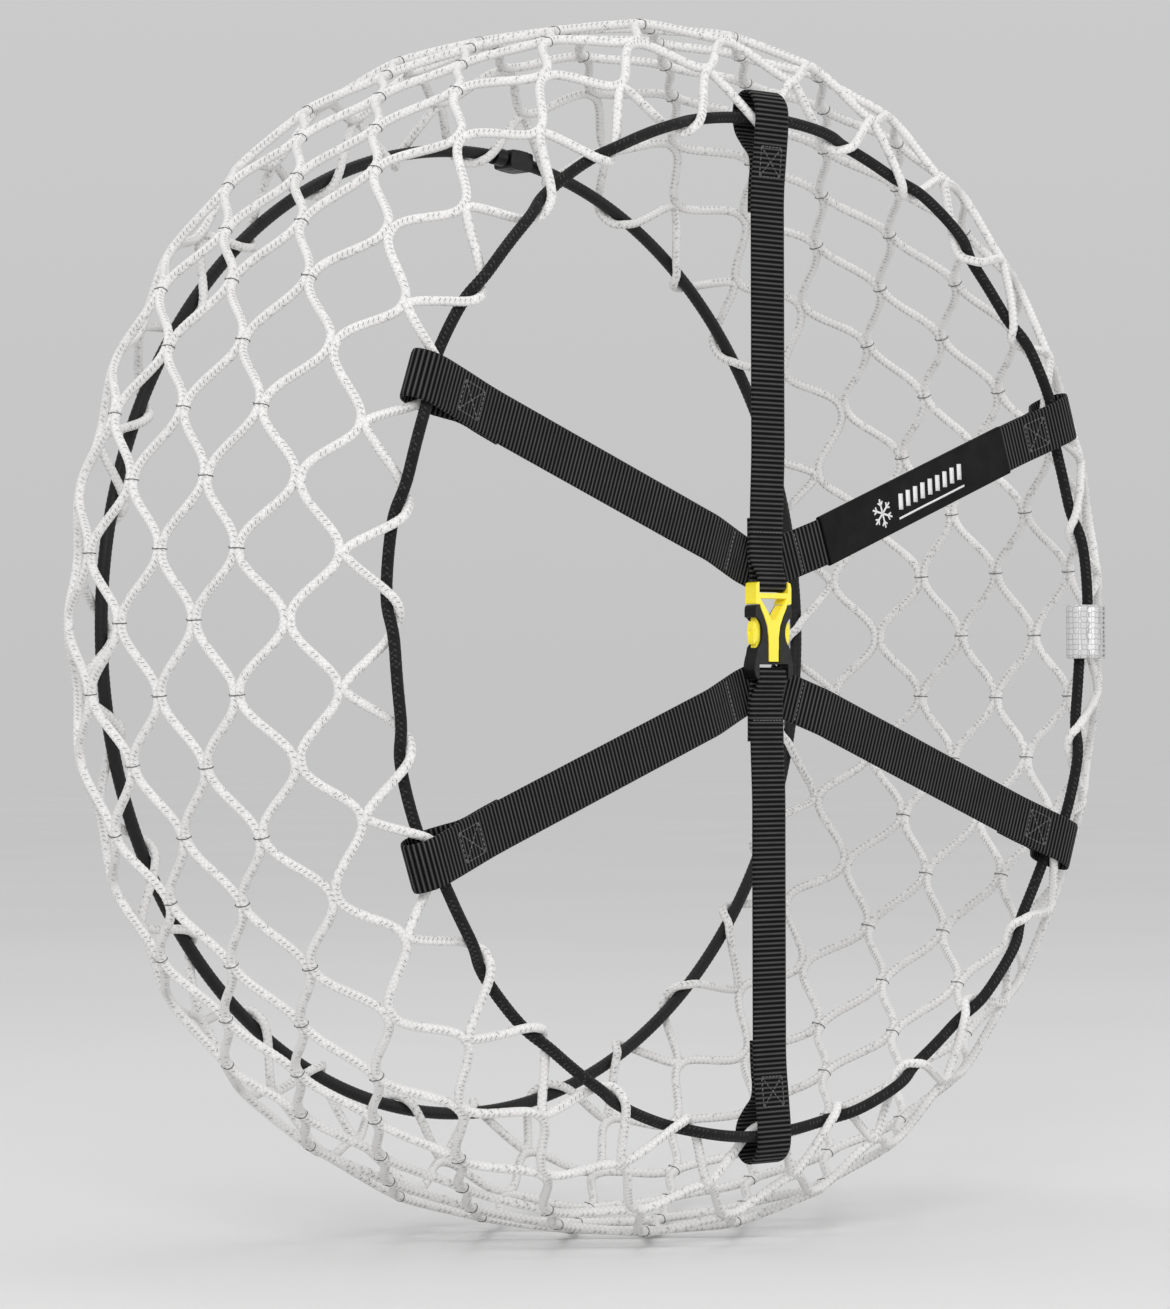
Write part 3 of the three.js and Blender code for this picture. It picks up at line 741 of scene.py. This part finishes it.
def strap_mesh(strap):
    line, places = strap.line, strap.places
    normal = left_of(line)
    across, thick, ribbed = web_section()
    rib = np.abs(np.cos(math.pi * places / RIB_PITCH)) ** 0.7
    from_end = np.minimum(places, places[-1] - places)
    rib = 1 - (1 - rib) * np.clip(from_end / 2 - 0.5, 0, 1)
    half = WEB_THICK / 2 * thick[None] - (1 - rib[:, None]) * RIB_DEPTH * ribbed[None]
    width = np.full(len(line), WEB_WIDTH / 2)
    if strap.straight:
        narrow = ease(np.clip((line[:, 0] - strap.bar - 4) / 12, 0, 1))
        width = (WEB_NECK + (WEB_WIDTH - WEB_NECK) * narrow) / 2
    width = width - 0.18 * (1 - rib)
    reach = line[:, 0:1] + normal[:, 0:1] * half
    y = line[:, 1:2] + normal[:, 1:2] * half
    rings = strap.world(reach, y, width[:, None] * across[None])
    v = np.append(across, across[0]) * WEB_WIDTH / 2
    return skin(strap.name, rings, places / RIB_PITCH, v)


def stitch_grain():
    """One stitch, a grain of thread along X whose ends dive into the web."""
    t = np.linspace(0, math.pi, 7)
    reach = -np.cos(t) * STITCH["length"] / 2
    swell = STITCH["radius"] * np.maximum(0.25, np.sin(t) ** 0.6)
    sink = -STITCH["sink"] * (1 - np.sin(t))
    angle = np.arange(6) * math.pi / 3
    ring = np.stack([np.zeros(6), np.sin(angle), np.cos(angle)], -1)
    rings = ring[None] * swell[:, None, None]
    rings[..., 0] += reach[:, None]
    rings[..., 2] += sink[:, None]
    return rings, reach, np.append(angle, 2 * math.pi)


def stitch_run(strap, start, end, front):
    """Places of stitches in a straight run between two points, each (reach, across), on one face."""
    start, end = np.array(start, float), np.array(end, float)
    length = np.linalg.norm(end - start)
    count = max(2, round(length / (STITCH["length"] + STITCH["gap"])))
    outwards = Vector(-TO_CAR if front else TO_CAR)
    heading = Vector(strap.world(end[0], 0, end[1]) - strap.world(start[0], 0, start[1])).normalized()
    for index in range(count):
        reach, across = start + (end - start) * (index + 0.5) / count
        middle = strap.world(reach, strap.face(reach, front), across)
        yield placed(middle, heading, outwards.cross(heading), outwards)


def strap_stitches(strap):
    middle, half = strap.length - BOX_STITCH["from_end"], BOX_STITCH["size"] / 2
    near, far = middle - half, middle + half
    corners = [(near, -half), (near, half), (far, half), (far, -half)]
    runs = [*zip(corners, [*corners[1:], corners[0]]), (corners[0], corners[2]), (corners[1], corners[3])]
    for front in (True, False):
        for start, end in runs:
            yield from stitch_run(strap, start, end, front)
    cross = CROSS_STITCH["straight" if strap.straight else "side"]
    reach_across = WEB_WIDTH / 2 - 1.5
    yield from stitch_run(strap, (cross, -reach_across), (cross, reach_across), True)


def add_straps(web, grey_thread):
    straps = [Strap(*row) for row in STRAPS]
    for strap in straps:
        piece("webbing_" + strap.name, strap_mesh(strap), web, strap.bodies(), [strap.name])
        stitches = copies("stitches", *stitch_grain(), strap_stitches(strap))
        piece("stitches_" + strap.name, stitches, grey_thread, strap.bodies())
    return {strap.name: strap for strap in straps}


# ---- the label sleeve and its mark ----
def rounded_box(width, thick, corner, per_corner=5):
    """Points once round a flat rounded rectangle, each (across, outwards)."""
    points = []
    for quarter, (x, y) in enumerate(((1, 1), (-1, 1), (-1, -1), (1, -1))):
        centre = (x * (width / 2 - corner), y * (thick / 2 - corner))
        for step in range(per_corner):
            turn = math.pi / 2 * (quarter + step / (per_corner - 1))
            points.append((centre[0] + corner * math.cos(turn), centre[1] + corner * math.sin(turn)))
    return np.array(points)


def subdivided(points, longest):
    """The same closed outline with its long sides split."""
    result = []
    for a, b in zip(points, np.roll(points, -1, axis=0)):
        count = max(1, math.ceil(np.linalg.norm(b - a) / longest))
        result.extend(a + (b - a) * k / count for k in range(count))
    return np.array(result)


def from_sleeve_end(reach):
    return np.minimum(reach - SLEEVE["start"], SLEEVE["end"] - reach)


def sleeve_wave(reach):
    """How far the loose cloth stands out."""
    return 0.16 * np.sin(reach / 7.3) * np.sin(reach / 18.1 + 1) * np.clip(from_sleeve_end(reach) / 12, 0, 1)


def sleeve_mesh(strap):
    """A flat tube over the webbing, its cloth a little loose, with hemmed ends."""
    wall = SLEEVE["wall"]
    outer = subdivided(rounded_box(SLEEVE["width"], SLEEVE["thick"], 1.2), 1.6)
    inner = outer * [1 - 2 * wall / SLEEVE["width"], 1 - 2 * wall / SLEEVE["thick"]]
    reach = np.arange(SLEEVE["start"], SLEEVE["end"] + 0.1, 1.0)
    inside = np.concatenate([np.zeros(len(reach)), np.ones(len(reach))])[:, None]
    reach = np.concatenate([reach, reach[::-1]])
    hem = 0.12 * np.exp(-(((from_sleeve_end(reach) - 2.2) / 0.8) ** 2)) * (1 - inside[:, 0])
    shape = outer[None] * (1 - inside[..., None]) + inner[None] * inside[..., None]
    side = np.sign(shape[..., 1]) * np.clip(1 - (shape[..., 0] / (SLEEVE["width"] / 2)) ** 4, 0, 1)
    y = STRAP_Y + shape[..., 1] + (sleeve_wave(reach) + hem)[:, None] * side
    rings = strap.world(np.broadcast_to(reach[:, None], y.shape), y, shape[..., 0])
    v = np.concatenate([outer[:, 0], outer[:1, 0]])
    return skin("sleeve", rings, np.append(reach, reach[0]), v, closed=True)


def sleeve_front(reach):
    return STRAP_Y - SLEEVE["thick"] / 2 - sleeve_wave(reach)


def printed_bar(strap, start, end, width):
    """A thin raised bar of print between two points, each (reach, across)."""
    start, end = np.array(start, float), np.array(end, float)
    heading = (end - start) / np.linalg.norm(end - start)
    aside = np.array([-heading[1], heading[0]]) * width / 2
    steps = np.linspace(0, 1, max(2, int(np.linalg.norm(end - start) / 2)))
    middle = start + (end - start) * steps[:, None]
    low, high = middle - aside, middle + aside
    rings = []
    for a, b in zip(low, high):
        rows = [(a, 0.3), (b, 0.3), (b, -0.12), (a, -0.12)]
        rings.append([strap.world(p[0], sleeve_front(p[0]) + lift, p[1]) for p, lift in rows])
    return skin("bar", np.array(rings), steps, np.arange(5.0))


FLAKE = {"middle": (94.0, -0.5), "arm": 8.0, "fork": 4.4, "twig": 2.8}
TREAD = {"blocks": 9, "start": 109.0, "pitch": 6.4, "slant": 2.4, "low": -3.2, "high": 5.0, "width": 3.4}
UNDERLINE = {"start": 106.0, "end": 163.0, "across": -7.4}
LINE_WIDTH, TWIG_WIDTH = 1.1, 0.9


def heading_at(turn):
    return np.array([math.cos(turn), math.sin(turn)])


def sleeve_mark(strap):
    """A snowflake, a run of slanted tread blocks and a line under them."""
    middle, bars = np.array(FLAKE["middle"]), []
    for spoke in range(6):
        turn = math.pi * spoke / 3 + math.pi / 6
        fork = middle + heading_at(turn) * FLAKE["fork"]
        bars.append(printed_bar(strap, middle, middle + heading_at(turn) * FLAKE["arm"], LINE_WIDTH))
        for lean in (-math.pi / 4, math.pi / 4):
            bars.append(printed_bar(strap, fork, fork + heading_at(turn + lean) * FLAKE["twig"], TWIG_WIDTH))
    for block in range(TREAD["blocks"]):
        reach = TREAD["start"] + block * TREAD["pitch"]
        low, high = (reach, TREAD["low"]), (reach + TREAD["slant"], TREAD["high"])
        bars.append(printed_bar(strap, low, high, TREAD["width"]))
    ends = [(UNDERLINE[key], UNDERLINE["across"]) for key in ("start", "end")]
    return joined("mark", [*bars, printed_bar(strap, *ends, LINE_WIDTH)])


def add_sleeve(strap, cloth, print_ink):
    piece("cloth_label_sleeve", sleeve_mesh(strap), cloth, strap.bodies(), ["label_sleeve"])
    piece("snowflake_print", sleeve_mark(strap), print_ink, strap.bodies())


# ---- the reflective label ----
REFLECTIVE_LINE = [
    (283, -109.7), (277, -112.6), (270, -116.1), (262, -116.5), (257.3, -114.6), (255, -111.2),
    (255, -106.8), (257.3, -103.4), (262, -100.9), (270, -100.2), (277, -102.5), (283, -108.3),
]


SEAM = {"radius": 279.5, "stitches": 11, "spacing": 2.6, "front": -112.0, "back": -105.3}


def label_mesh(outwards, lengthwise):
    line, places = even_steps(smooth_line(REFLECTIVE_LINE), 0.8)
    across, side = both_faces(16)
    thick = side * LABEL["thick"] / 2 * np.clip((1 - np.abs(across)) * 12, 0.35, 1)
    edge = line[:, None] + left_of(line)[:, None] * thick[None, :, None]
    aside = across * LABEL["width"] / 2
    rings = edge[..., :1] * outwards + edge[..., 1:] * TO_CAR + aside[None, :, None] * lengthwise
    return skin("label", rings, places, np.append(aside, aside[0]))


def seam_places(outwards, lengthwise):
    """Places of the stitches that hold the folded strip together, on its front and on its back."""
    heading = Vector(lengthwise)
    for side, y in ((-1, SEAM["front"]), (1, SEAM["back"])):
        face = Vector(side * TO_CAR)
        for index in range(SEAM["stitches"]):
            aside = (index - (SEAM["stitches"] - 1) / 2) * SEAM["spacing"]
            middle = outwards * SEAM["radius"] + lengthwise * aside + TO_CAR * y
            yield placed(middle, heading, face.cross(heading), face)


def add_reflective_label(film, grey_thread):
    turn = LABEL["at"] * PITCH
    outwards, lengthwise = on_wheel(turn, 1, 0), on_wheel(turn + math.pi / 2, 1, 0)
    mesh = label_mesh(outwards, lengthwise)
    piece("reflective_tag", mesh, film, stands_for=["reflective_label"])
    seam = copies("seam", *stitch_grain(), seam_places(outwards, lengthwise))
    piece("stitches_reflective_tag", seam, grey_thread)


# ---- solids for the buckle and the coupling ----
def prism(outline, y0, y1):
    """A plate whose outline is drawn in X and Z."""
    outline = np.asarray(outline, float)
    x, z = outline.T
    area = np.sum(x * np.roll(z, -1) - np.roll(x, -1) * z)
    if area < 0:
        outline = outline[::-1]
    count = len(outline)
    low = np.insert(outline, 1, y0, axis=1)
    high = np.insert(outline, 1, y1, axis=1)
    i = np.arange(count)
    after = (i + 1) % count
    sides = np.column_stack([i, after, after + count, i + count])
    caps = np.stack([i, i[::-1] + count])
    return linked("prism", mesh_of("prism", np.vstack([low, high]), [caps, sides[:, ::-1]], smooth=False))


def block(x0, x1, y0, y1, z0, z1):
    return prism([(x0, z0), (x1, z0), (x1, z1), (x0, z1)], y0, y1)


def rod(start, end, radius, sides=32):
    """A round bar between two points."""
    start, end = np.array(start, float), np.array(end, float)
    return linked("rod", plain_tube("rod", np.array([start, (start + end) / 2, end]), radius, sides, 1e3))


def combined(base, *others, operation="DIFFERENCE"):
    """base with each of the others cut from it or joined to it, one after the other."""
    for other in others:
        modifier = base.modifiers.new("boolean", "BOOLEAN")
        modifier.operation = operation
        modifier.solver = "EXACT"
        modifier.object = other
        settle(base)
        bpy.data.objects.remove(other)
    return base


def settle(obj):
    """Applies the object's modifiers to its mesh."""
    bpy.context.view_layer.update()
    evaluated = obj.evaluated_get(bpy.context.evaluated_depsgraph_get())
    mesh = bpy.data.meshes.new_from_object(evaluated)
    obj.modifiers.clear()
    obj.data = mesh
    return obj


def softened(obj, place, voxel=VOXEL):
    """The solid as a finely meshed moulding, with every edge rounded; it returns only the mesh."""
    remesh = obj.modifiers.new("remesh", "REMESH")
    remesh.mode = "VOXEL"
    remesh.voxel_size = voxel * MM
    smooth = obj.modifiers.new("smooth", "SMOOTH")
    smooth.factor = 0.5
    smooth.iterations = 3
    mesh = settle(obj).data
    bpy.data.objects.remove(obj)
    mesh.transform(place)
    mesh.shade_smooth()
    return mesh


def rounded(outline, cut=0.22):
    """The closed outline with its corners cut off, each at that share of the sides next to it."""
    outline = np.asarray(outline, float)
    after = np.roll(outline, -1, axis=0)
    pairs = [(1 - cut) * outline + cut * after, cut * outline + (1 - cut) * after]
    return np.stack(pairs, 1).reshape(-1, 2)


def mirrored(half):
    return [*half, *[(-x, z) for x, z in reversed(half) if x > 0]]


def ellipse(x, z, rx, rz, sides=48):
    turns = 2 * math.pi * np.arange(sides) / sides
    return np.column_stack([x + rx * np.cos(turns), z + rz * np.sin(turns)])


# ---- the buckle ----
HALF, WALL = 4.0, 1.4  # half the buckle's depth, and the thickness of the socket's walls
# Half outlines run down the right side, as (x, z), and the left side mirrors them.
SOCKET_OUTLINE = [
    (12.6, 11.2), (14, 10.1), (14.2, 4.8), (13.1, 1), (12.2, -4), (12.1, -9), (12.6, -13),
    (14.2, -17.5), (15, -20.5), (14.9, -23.5), (13.9, -26.4), (12, -28),
]
FRONT_SLOT = [(11, 12), (10.2, 9.6), (7.6, 5), (5.3, 0), (4.3, -6), (4, -18.9)]
BACK_NOTCH = [(9.5, 12), (8.8, 11), (3.4, 4.6)]
STEM_FACE = [(10.6, 12), (9.8, 9.5), (7.2, 5), (4.9, 0), (3.9, -6), (3.6, -18.5)]
STEM_CORE = [(7.5, 12), (7.5, 8), (7, 5), (4.8, 0), (3.8, -6), (3.5, -18.5)]
YOKE = [(11.2, 23), (13, 22.4), (13.6, 20), (13.6, 12.1), (13.2, 11.4), (11.3, 11.3)]
V_OPENING = [(10.1, 14.4), (8.6, 12.4), (5.2, 8.6), (1.6, 3.4)]
STEM_BACK = 2.2  # how far back the stem's core reaches
SLOT_X = 11.0  # half the width of the openings that the webbing passes through
PLUG_SLOT = 4.0  # how far the plug's opening reaches above and below its bar
SOCKET_RAIL = 1.0  # plastic between the socket's cavity and the opening for the webbing
SOCKET_TOP, SOCKET_BOTTOM = SOCKET_OUTLINE[0][1], SOCKET_OUTLINE[-1][1]
CAVITY = {"x": 11.6, "bottom": -18.9}
ARM = {"inner": 8.6, "outer": 11.2, "top": 11.1, "tip": -14.0, "half": 2.3}
WINDOW = (15.2, -3.6, 6.4, 8.4)  # an oval: the x and z of its middle, and its two radii
SWING_SLOT = (-11.3, 4.4)  # heights between which a pad can swing in
PAD = [
    (11, 0.8), (11.9, 1.7), (12.6, 3), (13.6, 1.1), (14, -3.5), (13.6, -8.1), (12.6, -9.9),
    (11.9, -8.6), (11, -7.7),
]
PAD_Z = -3.4  # height of the dimple and the notch in a press pad
IN_BUCKLE = Matrix.Translation((0, STRAP_Y * MM, 0))


def through(outline):
    """A cutter that passes through the front and the back of the buckle."""
    return prism(outline, -HALF - PAST, HALF + PAST)


def web_slot(low, high):
    return block(-SLOT_X, SLOT_X, -HALF - PAST, HALF + PAST, low, high)


def buckle_bar(z):
    return rod((-SLOT_X - INTO, 0, z), (SLOT_X + INTO, 0, z), BAR_R)


def socket_mesh():
    hollow = HALF - WALL
    bar_top = SOCKET_BAR_Z + BAR_R
    shell = combined(
        prism(rounded(mirrored(SOCKET_OUTLINE)), -HALF, HALF),
        block(-CAVITY["x"], CAVITY["x"], -hollow, hollow, CAVITY["bottom"], SOCKET_TOP + PAST),
        prism(mirrored(FRONT_SLOT), -HALF - PAST, 0),
        prism(mirrored(BACK_NOTCH), 0, HALF + PAST),
        through(ellipse(*WINDOW)),
        through(ellipse(-WINDOW[0], *WINDOW[1:])),
        block(-WINDOW[0], WINDOW[0], -hollow, hollow, *SWING_SLOT),
        web_slot(bar_top, CAVITY["bottom"] - SOCKET_RAIL),
        web_slot(SOCKET_BOTTOM - PAST, bar_top + INTO),
    )
    return softened(combined(shell, buckle_bar(SOCKET_BAR_Z), operation="UNION"), IN_BUCKLE)


def plug_mesh():
    yoke = combined(
        prism(mirrored(YOKE), -HALF, HALF),
        prism(mirrored(STEM_FACE), -HALF, WALL - HALF),
        prism(mirrored(STEM_CORE), -HALF, STEM_BACK),
        operation="UNION",
    )
    slot = web_slot(PLUG_BAR_Z - PLUG_SLOT, PLUG_BAR_Z + PLUG_SLOT)
    cut = combined(yoke, slot, through(mirrored(V_OPENING)))
    return softened(combined(cut, buckle_bar(PLUG_BAR_Z), operation="UNION"), IN_BUCKLE)


def arm_mesh(side):
    inner, outer, top, tip, half = (ARM[key] for key in ("inner", "outer", "top", "tip", "half"))
    outline = [(inner, top), (outer, top), (outer, tip + 2), (inner + 1, tip), (inner, tip + 1.5)]
    blade = prism([(side * x, z) for x, z in outline], -half, half)
    pad = prism(rounded([(side * x, z) for x, z in PAD]), -half, half)
    dimple = rod((side * 13.3, 0.4, PAD_Z), (side * 15, 0.4, PAD_Z), 1.5)
    notch = prism(ellipse(side * 12.6, PAD_Z, 0.55, 1.9, 20), -half - PAST, -1.7)
    arm = combined(combined(blade, pad, operation="UNION"), dimple, notch)
    return softened(arm, IN_BUCKLE, voxel=0.22)


def add_buckle(black_plastic, yellow_plastic):
    piece("moulded_socket", socket_mesh(), black_plastic, "chain", ["buckle_socket"])
    piece("moulded_plug", plug_mesh(), yellow_plastic, "plug", ["buckle_plug"])
    for word, side in (("left", -1), ("right", 1)):
        name = f"moulded_arm_{word}"
        piece(name, arm_mesh(side), yellow_plastic, f"arm_{word}", [f"plug_arm_{word}"])


# ---- the hoop on the inner side, and its coupling ----
HOOP_JOIN = 0.5 * PITCH
COUPLING = {
    "span": 27.0, "length": 17.0, "half": 5.5, "corner": 1.5, "low": 104.2, "high": 118.0, "bore": 2.9,
    "pin": 2.5, "pin_length": 13.0,
}
COLLAR = {"radius": 5.0, "length": 7.6}
GRIP = {"starts": (-6.5, -4.5, 4.5, 6.5), "width": 0.8, "depth": 0.4, "from_top": 7.0}
BUTTON = {
    "radius": 3.4, "well": 3.7, "depth": 6.0, "height": 4.2, "stand": 1.6, "offset": 2.0, "hollow": 1.4,
    "dish": 2.2, "dish_depth": 0.4,
}
SPRING = {"radius": 2.4, "wire": 0.35, "turns": 3}
# The coupling is drawn with +X along the hoop and +Z outwards, its middle on the hoop's line.
COUPLING_MIDDLE = Vector(on_wheel(HOOP_JOIN, RING_RADIUS, HOOP["y"])) * MM
IN_COUPLING = Matrix.Translation(COUPLING_MIDDLE) @ Matrix.Rotation(HOOP_JOIN, 4, "Y")
SOCKET_X = (COUPLING["span"] - COUPLING["length"]) / 2
PLUG_X = (COLLAR["length"] - COUPLING["span"]) / 2


def hoop_line(half_gap):
    turns = np.linspace(half_gap, 2 * math.pi - half_gap, round(2 * math.pi * RING_RADIUS))
    return on_wheel(HOOP_JOIN + turns, RING_RADIUS, HOOP["y"])


def sleeve_tube(path, outer, bore):
    """A tube with a bore, ribbed round like a flexible conduit."""
    line, places = even_steps(path, 0.8)
    sides = 16
    out = spokes(line, sides)
    ribs = outer - 0.16 * (0.5 - 0.5 * np.cos(2 * math.pi * places / 3.2))
    skin_rings = line[:, None] + ribs[:, None, None] * out
    bore_rings = (line[:, None] + bore * out)[::-1]
    reach = np.concatenate([places, places[::-1], places[:1]])
    rings = np.concatenate([skin_rings, bore_rings])
    return skin("hoop", rings, reach, np.arange(sides + 1) / sides, closed=True)


def coupling_socket_mesh():
    half, length, corner = COUPLING["half"], COUPLING["length"] / 2, COUPLING["corner"]
    flat, side = half - corner, length - corner
    outline = mirrored([(side, -half), (length, -flat), (length, flat), (side, half)])
    low, high = COUPLING["low"] - HOOP["y"], COUPLING["high"] - HOOP["y"]
    bore = rod((-length - PAST, 0, 0), (length + PAST, 0, 0), COUPLING["bore"])
    x = BUTTON["offset"]
    well = rod((x, high - BUTTON["depth"], 0), (x, high + PAST, 0), BUTTON["well"])
    deep, top = GRIP["depth"], high - GRIP["from_top"]
    grooves = [
        block(x, x + GRIP["width"], low - PAST, top, face - deep, face + deep)
        for x in GRIP["starts"]
        for face in (-half, half)
    ]
    body = combined(prism(rounded(outline), low, high), bore, well, *grooves)
    return softened(body, IN_COUPLING @ Matrix.Translation((SOCKET_X * MM, 0, 0)))


def coupling_plug_mesh():
    face = COLLAR["length"] / 2
    collar = rod((-face, 0, 0), (face, 0, 0), COLLAR["radius"])
    pin = rod((face - INTO, 0, 0), (face + COUPLING["pin_length"], 0, 0), COUPLING["pin"])
    seat = rod((-face - PAST, 0, 0), (-INTO, 0, 0), HOOP["core"] + 3 * GAP)
    body = combined(combined(collar, pin, operation="UNION"), seat)
    return softened(body, IN_COUPLING @ Matrix.Translation((PLUG_X * MM, 0, 0)))


def button_place():
    top = COUPLING["high"] - HOOP["y"]
    return Vector((SOCKET_X + BUTTON["offset"], top, 0))


def button_mesh():
    centre = button_place()
    high = centre.y + BUTTON["stand"]
    low = high - BUTTON["height"]
    cap = rod((centre.x, low, 0), (centre.x, high, 0), BUTTON["radius"], 48)
    seat = SPRING["radius"] + SPRING["wire"] + GAP
    recess = rod((centre.x, low - PAST, 0), (centre.x, low + BUTTON["hollow"], 0), seat)
    dish = rod((centre.x, high - BUTTON["dish_depth"], 0), (centre.x, high + PAST, 0), BUTTON["dish"])
    return softened(combined(cap, recess, dish), IN_COUPLING, voxel=0.2)


def spring_ends():
    """The heights of the first and the last turn of the button's spring."""
    top = button_place().y
    low = top - BUTTON["depth"] + SPRING["wire"] + GAP
    high = top + BUTTON["stand"] - BUTTON["height"] + BUTTON["hollow"] - SPRING["wire"] - GAP
    return low, high


def spring_mesh():
    centre = button_place()
    turns = np.linspace(0, 2 * math.pi * SPRING["turns"], 90)
    x, z = centre.x + SPRING["radius"] * np.cos(turns), SPRING["radius"] * np.sin(turns)
    line = np.column_stack([x, np.linspace(*spring_ends(), len(turns)), z])
    mesh = plain_tube("spring", line, SPRING["wire"], 10, 0.5)
    mesh.transform(IN_COUPLING)
    return mesh


def spring_bodies():
    """The button, with the points on the spring's axis at its foot and at its top."""
    x = button_place().x
    return ("button", *(tuple(IN_COUPLING @ Vector((x * MM, y * MM, 0))) for y in spring_ends()))


def add_hoop(conduit, steel, black_plastic, yellow_plastic):
    half_gap = HOOP["arc"] / 2 / RING_RADIUS
    tube = sleeve_tube(hoop_line(half_gap), HOOP["rope"], HOOP["bore"])
    piece("conduit_hoop_sleeve", tube, conduit, "chain", ["hoop_sleeve"])
    core = plain_tube("core", hoop_line(half_gap - HOOP["core_reach"] / RING_RADIUS), HOOP["core"], 14, 2.0)
    piece("spring_steel_core", core, steel, "chain", ["hoop_core"])
    piece("coupling_socket", coupling_socket_mesh(), black_plastic, "chain", ["hoop_socket"])
    piece("coupling_plug", coupling_plug_mesh(), black_plastic, "chain", ["hoop_plug"])
    piece("coupling_button", button_mesh(), yellow_plastic, "button", ["hoop_button"])
    piece("coupling_spring", spring_mesh(), steel, spring_bodies(), ["hoop_button_spring"])


# ---- stage ----
# The camera was fitted to the photo. Its angles are in degrees and its place is in metres.
CAMERA_AZIMUTH, CAMERA_ELEVATION, CAMERA_ROLL = -45.256, -0.709, -0.119
CAMERA_PLACE = (-1.9041, -1.8658, -0.0465)
CAMERA_LENS, SENSOR_HEIGHT = 136.4, 36.0
FLOOR_Z = -0.3245
FLOOR_HALF = 30e3  # half of the floor's side, far beyond the view
FLOOR_SHADE = 0.72
HORIZON = 0.55


def add_camera():
    azimuth, elevation, roll = (math.radians(v) for v in (CAMERA_AZIMUTH, CAMERA_ELEVATION, CAMERA_ROLL))
    level = math.cos(elevation)
    back = Vector((math.sin(azimuth) * level, -math.cos(azimuth) * level, math.sin(elevation)))
    right = (-back).cross(Vector((0, 0, 1))).normalized()
    up = right.cross(-back)
    turned_right = math.cos(roll) * right + math.sin(roll) * up
    turned_up = math.cos(roll) * up - math.sin(roll) * right
    data = bpy.data.cameras.new("camera")
    data.sensor_fit = "VERTICAL"
    data.sensor_height = SENSOR_HEIGHT
    data.lens = CAMERA_LENS
    data.clip_end = 100
    camera = linked("camera", data)
    camera.matrix_world = placed(CAMERA_PLACE, turned_right, turned_up, back)
    bpy.context.scene.camera = camera


def add_light(name, place, width, power):
    """A round soft light that faces the wheel's centre."""
    data = bpy.data.lights.new(name, "AREA")
    data.shape = "DISK"
    data.size = width
    data.energy = power
    light = linked(name, data)
    light.location = place
    light.rotation_euler = (-Vector(place)).to_track_quat("-Z", "Y").to_euler()


def add_floor(material):
    corners = FLOOR_HALF * np.array([(-1, -1, 0), (1, -1, 0), (1, 1, 0), (-1, 1, 0)])
    mesh = mesh_of("floor", corners, [np.array([[0, 1, 2, 3]])], smooth=False)
    floor = linked("floor", mesh)
    floor.location.z = FLOOR_Z
    mesh.materials.append(material)
    floor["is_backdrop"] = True


def add_sky():
    """A pale sky, brighter overhead by what the floor takes away, so that the two meet unseen."""
    world = bpy.data.worlds.new("studio")
    world.use_nodes = True
    tree = world.node_tree
    place = tree.nodes.new("ShaderNodeTexCoord")
    split = tree.nodes.new("ShaderNodeSeparateXYZ")
    ramp = tree.nodes.new("ShaderNodeMix")
    ramp.data_type = "RGBA"
    ramp.inputs[6].default_value = grey(HORIZON)
    ramp.inputs[7].default_value = grey(HORIZON * (1 + 1.5 * (1 / FLOOR_SHADE - 1)))
    tree.links.new(place.outputs["Generated"], split.inputs[0])
    tree.links.new(split.outputs[2], ramp.inputs[0])
    tree.links.new(ramp.outputs[2], tree.nodes["Background"].inputs["Color"])
    bpy.context.scene.world = world


def add_stage():
    add_camera()
    add_floor(matte_floor("floor_matte"))
    add_sky()
    add_light("key", (-3.0, -2.5, 1.5), 1.6, 72)
    add_light("fill", (2.2, -2.8, 0.6), 2.0, 22)
    add_light("top", (0.2, 0.3, 3.0), 1.4, 10)
    bpy.context.scene.view_settings.view_transform = "Standard"


def build():
    # Each valley colour is the painted shade in the braid's creases, and also the colour of its patches of
    # wear.
    white = {"yarn": grey(0.82, 0.01), "valley": grey(0.5, 0.02), "fleck": grey(0.17)}
    black = {"yarn": grey(0.016), "valley": grey(0.003), "fleck": grey(0.06)}
    white_rope = braided("white_rope", ROPE_BRAID, **white, rows=(0, 3, 5), sheen=0.1)
    black_cord = braided("black_cord", RING_BRAID, **black, rows=(0, 2, 5, 7, 9), sheen=0.04)
    # Painted highlight colour on the ribs' crests, then painted shade colour in their furrows.
    web = webbing("black_webbing", grey(0.1), grey(0.002))
    grey_thread = thread("grey_thread", grey(0.17), grey(0.06))
    clip_wire = wire("clip_wire", grey(0.2), 0.45)
    steel = wire("spring_steel", grey(0.6), 0.25)
    black_plastic = moulded("black_plastic", grey(0.006), grey(0.004), 0.38, Specular_IOR_Level=0.22)
    yellow_plastic = moulded("yellow_plastic", (0.95, 0.8, 0.04, 1), (0.9, 0.73, 0.025, 1), 0.36)
    conduit = moulded("hoop_conduit", grey(0.014), grey(0.009), 0.5, Specular_IOR_Level=0.2)
    cloth = coated_cloth("sleeve_cloth", grey(0.006), grey(0.004), 0.55, 0.6)
    print_ink = coated_cloth("print_ink", grey(0.8), grey(0.72), 0.55, 0.6)
    film = bead_film("reflective_film")
    add_net(white_rope, black_cord, clip_wire)
    straps = add_straps(web, grey_thread)
    add_sleeve(straps["strap_upper_right"], cloth, print_ink)
    add_reflective_label(film, grey_thread)
    add_buckle(black_plastic, yellow_plastic)
    add_hoop(conduit, steel, black_plastic, yellow_plastic)


add_stage()
build()
boxes = {"cad": CAD_BOX, "visual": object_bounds()}
{name: [list(corner) for corner in box] for name, box in boxes.items()}
